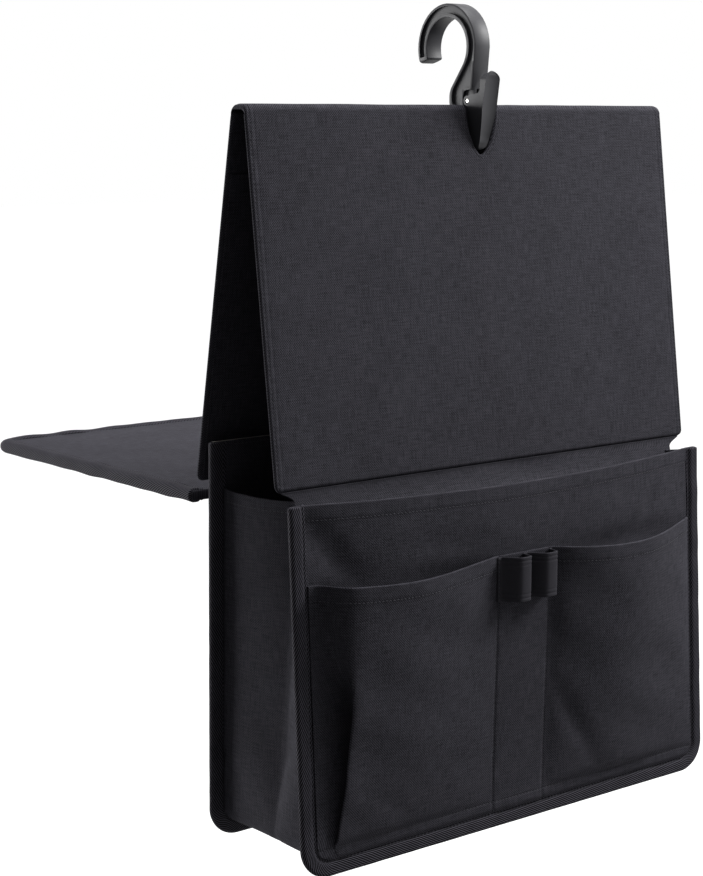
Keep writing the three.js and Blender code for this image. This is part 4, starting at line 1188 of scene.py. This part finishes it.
def flap_place(x, height, depth):
    """The flap lies level: height counts from its free edge to the hinge, depth upwards."""
    return joined(x, FLAP_HINGE[0] + FLAP_LENGTH - height, FLAP_HINGE[1] + depth)


binding("front_binding", "bag_front", FRONT["length"], CORNER, FRONT_BINDING, WALL_CLOTH / 2,
        partial(wall_point, FRONT), 21, slant=-1)
binding("back_binding", "bag_back", BACK["length"], CORNER, BACK_BINDING, PANEL_STACK / 2,
        partial(wall_point, BACK), 31)
binding("flap_binding", "flap", FLAP_LENGTH - 0.6, FLAP_CORNER, FLAP_BINDING, FLAP_STACK / 2,
        flap_place, 41)


# Gusset

def wall_y(wall, z):
    """Y of a wall at a level: straight from its foot to its top."""
    return wall["foot"] + (wall["top"] - wall["foot"]) / wall["length"] * z


def gusset():
    """The strip between the walls, round the U of the bag, creased inwards along its sides.
    Grid: columns from front to back, rows along the U."""
    half_width = BAG_WIDTH / 2 - GUSSET_INSET
    path = binding_path(2 * half_width, GUSSET_TOP - GUSSET_INSET, CORNER - GUSSET_INSET)
    along, x, level, out_x, out_z = (part[:, None] for part in path)
    level = level + GUSSET_INSET
    front = wall_y(FRONT, level) + WALL_CLOTH / 2
    back = wall_y(BACK, level) - PANEL_STACK / 2
    crease = CREASE_TOP + (CREASE_LOW - CREASE_TOP) * (1 - level / GUSSET_TOP)
    across = np.concatenate([
        np.linspace(-1, -0.2, 12)[:-1],
        np.linspace(-0.2, 0.2, 15)[:-1],
        np.linspace(0.2, 1, 24),
    ])
    share = np.where(across < 0, crease * (1 + across), crease + (1 - crease) * across)
    fold = np.where(share < crease, share / crease, (1 - share) / (1 - crease))
    rise = smooth((level - CREASE_FOOT * (1 - fold)) / CREASE_FOOT)
    sharp = fold - 0.04 * ridge_line(share, crease, 0.02)
    reach = CREASE_DEPTH[0] + (CREASE_DEPTH[1] - CREASE_DEPTH[0]) * level / GUSSET_TOP
    inward = reach * sharp ** np.where(share < crease, 1.0, 1.7) * rise * np.abs(out_x)
    sewn = smooth(share * 8) * smooth((1 - share) * 8)
    swell = cloth_waves(along, share * 90, 8, 80, 0.35) * sewn
    top_gap = np.minimum(along, along[-1] - along)
    sag = 2.2 * np.sin(math.pi * share) * smooth(1 - top_gap / 60)
    offset = -(0.6 + inward + swell)
    depth = (back - front) * share
    middle = joined(x + out_x * offset, front + depth, level + out_z * offset - sag)
    stitches = GUSSET_HEM - 1.0
    half, groove = turned_hem(top_gap, WALL_CLOTH, GUSSET_HEM, stitches, 0.25)
    strip = Slab(middle, normals_of(middle), half, joined(depth, along), groove, groove)
    strip.close("first_column", "last_column")
    cloth = put("gusset_cloth", strip.mesh(), CLOTH, "bag_back", ("gusset_strip",))
    hem_row = nearest(along, stitches)
    seams = Seams()
    for row in (hem_row, len(along) - 1 - hem_row):
        seams.follow(strip, row, slice(2, -2))
    for thing in (cloth, seams.made("gusset_thread", "bag_back")):
        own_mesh(thing)
    width = float((back - front).mean()) + 4


gusset()


# Hinge cloths and hanging tape

def front_hinge():
    """The panel's cloth goes on below its board: straight down in the panel's own face, slightly
    swollen, and then forward to the inside of the hem. Grid: columns across, rows along a
    curve of five control points."""
    columns = spaced(-HINGE_HALF, HINGE_HALF, 4)
    x, t = np.meshgrid(columns, np.linspace(0, 1, 34))
    low = FRONT["length"] - HEM_WIDTH - 5
    inside = wall_point(FRONT, x, low - HEM_SAG * bowed(x), -wall_belly(x, low) + 1.6)
    foot_y, foot_z = PANELS[-1]["foot"]
    face_y = foot_y - PANEL_STACK / 2
    start = joined(x, face_y + 1.5, foot_z + 0.3)
    brow = joined(x, face_y + 2.6, foot_z - 3.5)
    fall = joined(x, face_y - 2.0, foot_z - 8)
    knee = fall + (0, 1.5, -20.0)
    weights = [
        (1 - t) ** 4, 4 * t * (1 - t) ** 3, 6 * (t * (1 - t)) ** 2, 4 * t ** 3 * (1 - t), t ** 4,
    ]
    middle = sum(w[..., None] * p for w, p in zip(weights, (start, brow, fall, knee, inside)))
    middle[..., 0] *= 1 + 10 * (1 - smooth(3 * t)) / HINGE_HALF
    waves = cloth_waves(x, t * FRONT_HINGE_RUN, 14, 60, 0.7)
    middle[..., 1] += waves * np.sin(math.pi * t)
    half = 0.45 * edge_fall(HINGE_HALF - np.abs(x), 0.6)
    strip = Slab(middle, normals_of(middle), half, joined(x, -FRONT_HINGE_RUN * t))
    strip.close("first_row", "last_row")
    cloth = put("front_hinge_cloth", strip.mesh(), CLOTH, nodes=("front_hinge_strip",))
    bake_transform(cloth)


def rear_hinge():
    """Ledge of doubled cloth from the back wall out to the flap's hinge line."""
    end_y, end_z = FLAP_HINGE
    start_y = wall_y(BACK, end_z) + PANEL_STACK / 2
    x, t = np.meshgrid(spaced(-HINGE_HALF, HINGE_HALF, 6), np.linspace(0, 1, 26))
    y = start_y - 0.5 + (end_y + 0.5 - start_y) * t
    waves = cloth_waves(x, t * REAR_HINGE_RUN, 16, 60, 0.25)
    z = end_z - 1.1 * np.sin(math.pi * t) + waves * np.sin(math.pi * t)
    middle = joined(x, y, z)
    edge = np.minimum(HINGE_HALF - np.abs(x), (1 - t) * REAR_HINGE_RUN)
    half = 0.55 * edge_fall(edge, 0.6)
    strip = Slab(middle, normals_of(middle), half, joined(x, t * REAR_HINGE_RUN))
    strip.close("first_row")
    cloth = put("rear_hinge_cloth", strip.mesh(), CLOTH, nodes=("rear_hinge_strip",))
    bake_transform(cloth)


def hanging_tape(name, side):
    """Half of the doubled webbing between the panels, from its end to the middle of the clip,
    which grips it."""
    outer = HOOK_X + side * HANGING_HALF
    start, end = sorted((outer, HOOK_X))
    columns = spaced(start, end, 3, fine_start=side < 0, fine_end=side > 0)
    x, z = np.meshgrid(columns, spaced(HANGING_LOW, HANGING_HIGH, 2))
    edge = np.minimum(np.abs(x - outer), np.minimum(z - HANGING_LOW, HANGING_HIGH - z))
    middle = joined(x, HANGING_Y, z)
    tape = Slab(middle, normals_of(middle), 0.7 * edge_fall(edge, 0.6), joined(x, z))
    tape.close("last_column" if side < 0 else "first_column")
    web = put(name, tape.mesh(), WEBBING, nodes=("hanging_tape",))
    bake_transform(web)


front_hinge()
rear_hinge()
hanging_tape("hanging_webbing_left", -1)
hanging_tape("hanging_webbing_right", 1)


# Flap

def flap_cloth():
    """Both faces of the padded flap, slightly crowned, and its root, where they are turned in
    over the board's edge. Grid: columns across, rows to the hinge."""
    run = FLAP_LENGTH - 0.1
    rows = spaced(SHEET_INSET, run, 8, fine_start=False)
    x, height, clear = bound_grid(8, rows, FLAP_CORNER)
    root = run - height
    middle = flap_place(x, height, 0)
    normal = np.broadcast_to([0.0, 0.0, 1.0], middle.shape)
    rest = np.minimum(CLEAR_HALF - np.abs(x), height - BINDING_WIDTH)
    crown = 0.7 * smooth(rest / 40)
    half = FLAP_STACK / 2 * edge_fall(root, 0.5)
    groove = -0.3 * ridge_line(root, FLAP_SEAM, 0.6)
    wave = cloth_waves(x, height, 18, 120, 0.25) * smooth(rest / 30)
    near, far = crown + wave + groove, crown * 0.6
    cover = Slab(middle, normal, half, joined(x, height), near, far)
    cover.close("first_row", "first_column", "last_column")
    cover.turn_over()
    cloth = put("flap_cloth", cover.mesh(), CLOTH, "flap", ("flap_top_cloth", "flap_under_cloth"))
    SEAMS["flap"].follow(cover, nearest(rows, run - FLAP_SEAM), clear)


flap_cloth()


# Pen loops

# Section of one loop, as shares of its breadth and of its reach
LOOP_SHAPE = (
    (0.0, 0.0), (0.09, 0.0), (0.17, 0.25), (0.31, 0.86), (0.38, 1.06), (0.52, 1.1),
    (0.74, 1.06), (0.82, 0.98), (0.86, 0.75), (0.93, 0.12), (1.0, 0.0),
)


def pen_loops():
    """One tape, sewn down at three lines, with a loop between each two that leans to the right:
    its left side slants, its front is round and its right side is steep. The section is bent
    in X and Y and carried up the wall."""
    line = [(SEAM_LEFT - 1.5, 0.0)]
    for start, end in ((SEAM_LEFT, LOOP_MIDDLE - 0.6), (LOOP_MIDDLE + 0.6, SEAM_RIGHT)):
        line += [(start + run * (end - start), rise * LOOP_REACH) for run, rise in LOOP_SHAPE]
    line.append((SEAM_RIGHT + 1.5, 0.0))
    x, stand = rounded_corners(np.array(line), 3).T
    rows = spaced(LOOP_FOOT, LOOP_TOP, 1.6)
    height = rows[:, None]
    seat = WALL_CLOTH / 2 + POCKET_CLOTH + 0.5 + 0.6
    low, high = wall_belly(x, LOOP_FOOT), wall_belly(x, LOOP_TOP)
    depth = low + (high - low) * (height - LOOP_FOOT) / LOOP_HEIGHT
    middle = wall_point(FRONT, x, height, -(depth + seat + stand))
    edge = np.minimum(height - LOOP_FOOT, LOOP_TOP - height)
    groove = -0.3 * ridge_line(edge, 2.6, 0.4) - 0.3 * ridge_line(edge, 5.4, 0.4)
    half = 0.6 * edge_fall(edge, 0.5)
    across = run_across(middle)
    tape = Slab(middle, normals_of(middle), half, joined(across, height), near=groove)
    tape.close("first_column", "last_column")
    web = put("pen_loop_webbing", tape.mesh(), WEBBING, "bag_front", ("pen_loop_tape",))
    for place in (SEAM_LEFT - 0.7, SEAM_RIGHT + 0.7):
        column = nearest(np.hypot(x - place, 5 * stand), 0)
        SEAMS["bag_front"].follow(tape, slice(2, -2), column, pitch=2.6, length=2.0)


pen_loops()
for body, seams in SEAMS.items():
    seams.made(body + "_thread", body)


# Hook and lever

LEVER_TOP = 517.4
LEVER_FOOT = 464.4
LEVER_HALF = 6.7
LEVER_BANDS = np.concatenate([
    np.linspace(LEVER_TOP - LEVER_HALF, LEVER_TOP - 0.3, 9),
    np.linspace(LEVER_FOOT + 0.3, LEVER_FOOT + 3, 5),
])
PAD_Y = 31.0  # the pad lies forward of this at the lever's top
PAD_LEAN = 0.2  # and of this much more for each millimetre below it
WEB_HALF = 1.7  # half the thickness of the hook's web, as the CAD part has it
RAISED_HALF = 4.8  # and as it is shown
RING_Y = 80.0  # the ring's tip lies behind this
TIP = 523.6
TIP_ROUND = 2.6
TIP_BANDS = np.linspace(TIP + 0.3, TIP + TIP_ROUND, 6)
SHARP = math.radians(33)


def moulded(name, node, body, levels, shaped, rounding_width, carved=None):
    """The moulding's own shape with rounded edges and without facets. Levels are heights at
    which it is cut into bands first, so that shaped can bend its points."""
    source = frame["nodes"][node]
    shape = bmesh.new()
    shape.from_mesh(source.data)
    shape.transform(source.matrix_world)
    bmesh.ops.remove_doubles(shape, verts=shape.verts, dist=0.01 * MM)
    bmesh.ops.dissolve_limit(shape, angle_limit=math.radians(1.5), verts=shape.verts,
                             edges=shape.edges)
    for level in levels:
        everything = [*shape.verts, *shape.edges, *shape.faces]
        bmesh.ops.bisect_plane(shape, geom=everything, dist=0.001 * MM, plane_co=at(0, 0, level),
                               plane_no=(0, 0, 1))
    if carved:
        shape.normal_update()
        carved(shape)
    mesh = bpy.data.meshes.new(name)
    shape.to_mesh(mesh)
    shape.free()
    points = np.empty(len(mesh.vertices) * 3)
    mesh.vertices.foreach_get("co", points)
    points = points.reshape(-1, 3) / MM + ORIGIN
    mesh.vertices.foreach_set("co", to_frame(shaped(points)).ravel())
    mesh.shade_smooth()
    mesh.set_sharp_from_angle(angle=SHARP)
    rounding = put(name, mesh, PLASTIC, body, (node,)).modifiers.new("rounded edges", "BEVEL")
    rounding.width = rounding_width * MM
    rounding.segments = 2
    rounding.limit_method = "ANGLE"
    rounding.angle_limit = SHARP
    rounding.harden_normals = True


def round_ends(points):
    """Draws the lever's sides in towards its top and its foot, as half circles."""
    x, y, z = points.T
    over = clamp01((z - (LEVER_TOP - LEVER_HALF)) / LEVER_HALF)
    under = clamp01((LEVER_FOOT + 3.0 - z) / 3.4)
    share = np.sqrt(np.maximum(0.02, 1 - over ** 2)) * np.sqrt(np.maximum(0.04, 1 - under ** 2))
    return joined(HOOK_X + (x - HOOK_X) * share, y, z)


def sink_pad(shape):
    """Sinks the face of the lever's pad a little inside a narrow rim."""
    pad = []
    for face in shape.faces:
        y, z = (np.array(face.calc_center_median()) / MM + ORIGIN)[1:]
        on_pad = y < PAD_Y + PAD_LEAN * (LEVER_TOP - z) and z > LEVER_FOOT + 6
        if face.normal.y < -0.85 and on_pad:
            pad.append(face)
    bmesh.ops.inset_region(shape, faces=pad, thickness=1.1 * MM, depth=-0.5 * MM,
                           use_even_offset=True)


def finish_hook(points):
    """Brings the floor of the hook's recesses nearer to its sides, and rounds the ring's tip."""
    x, y, z = points.T
    off = x - HOOK_X
    floor = (np.abs(off) > WEB_HALF - 0.2) & (np.abs(off) < WEB_HALF + 0.2)
    off = np.where(floor, np.sign(off) * RAISED_HALF, off)
    end = clamp01(1 - (z - TIP) / TIP_ROUND) * (y > RING_Y)
    share = 1 - TIP_ROUND / LEVER_HALF * (1 - np.sqrt(1 - 0.98 * end ** 2))
    return joined(HOOK_X + off * share, y, z)


moulded("hook_moulding", "hook_body", "hook", TIP_BANDS, finish_hook, 0.45)
moulded("lever_moulding", "clip_lever", "lever", LEVER_BANDS, round_ends, 0.22, sink_pad)


# Parts that keep their own shape

def dress(finish, *nodes):
    """Carried-over parts get their finish."""
    for node in nodes:
        mesh = frame["nodes"][node].data
        mesh.materials.clear()
        mesh.materials.append(finish)


dress(STEEL, "lever_pin", "clip_spring")
dress(BOARD, "front_panel_board", "rear_panel_board", "back_wall_board", "flap_board")


# Floor and light

FLOOR_DROP = 0.25  # metres from the foot of the bag to the floor
FLOOR_HALF = 14.0  # metres
FLOOR_LIFT = 0.96
AMBIENT = 0.07
LAMP_AIM = Vector((0, 0, -0.28))
LAMPS = (
    # name, place in metres, size, watts
    ("top_softbox", (0.2, -0.05, 1.3), 1.1, 36),
    ("right_softbox", (1.2, -0.62, 0.6), 0.6, 36),
    ("front_softbox", (1.3, -1.3, 0.1), 0.7, 4),
    ("left_softbox", (-1.0, 1.5, -0.25), 0.9, 36),
)


def floor():
    """A wide pale floor. Seen straight on, mirrored or through something clear, it is as white
    as the background, less the shade that the object throws on it."""
    foot = CAD_BOX[0][2] - FLOOR_DROP
    mesh = bpy.data.meshes.new("floor")
    signs = ((-1, -1), (1, -1), (1, 1), (-1, 1))
    corners = [(x * FLOOR_HALF, y * FLOOR_HALF, foot) for x, y in signs]
    mesh.from_pydata(corners, [], [(0, 1, 2, 3)])
    finish = Finish("floor", roughness=0.9, Emission_Color=(1, 1, 1, 1))
    grain = finish.noise(finish.coordinates("Object"), 3.0, 2.0)
    finish.coloured(grain, (0.2, 0.2, 0.2), (0.22, 0.22, 0.22))
    finish.use("Emission Strength", finish.seeing() * FLOOR_LIFT)
    mesh.materials.append(finish.material)
    added("floor", mesh)


def world():
    """Soft even light from all round, and plain white wherever the background is seen."""
    studio = bpy.data.worlds.new("studio")
    studio.use_nodes = True
    nodes = Nodes(studio.node_tree)
    background = nodes.tree.nodes["Background"]
    background.inputs["Color"].default_value = (1, 1, 1, 1)
    nodes.feed(nodes.seeing() * (1 - AMBIENT) + AMBIENT, background, "Strength")
    bpy.context.scene.world = studio


def lamps():
    for name, place, size, watts in LAMPS:
        light = bpy.data.lights.new(name, "AREA")
        light.shape = "SQUARE"
        light.size = size
        light.energy = watts
        lamp = added(name, light)
        lamp.location = place
        lamp.rotation_euler = (LAMP_AIM - Vector(place)).to_track_quat("-Z", "Y").to_euler()


floor()
world()
lamps()
bpy.context.scene.view_settings.view_transform = "Standard"
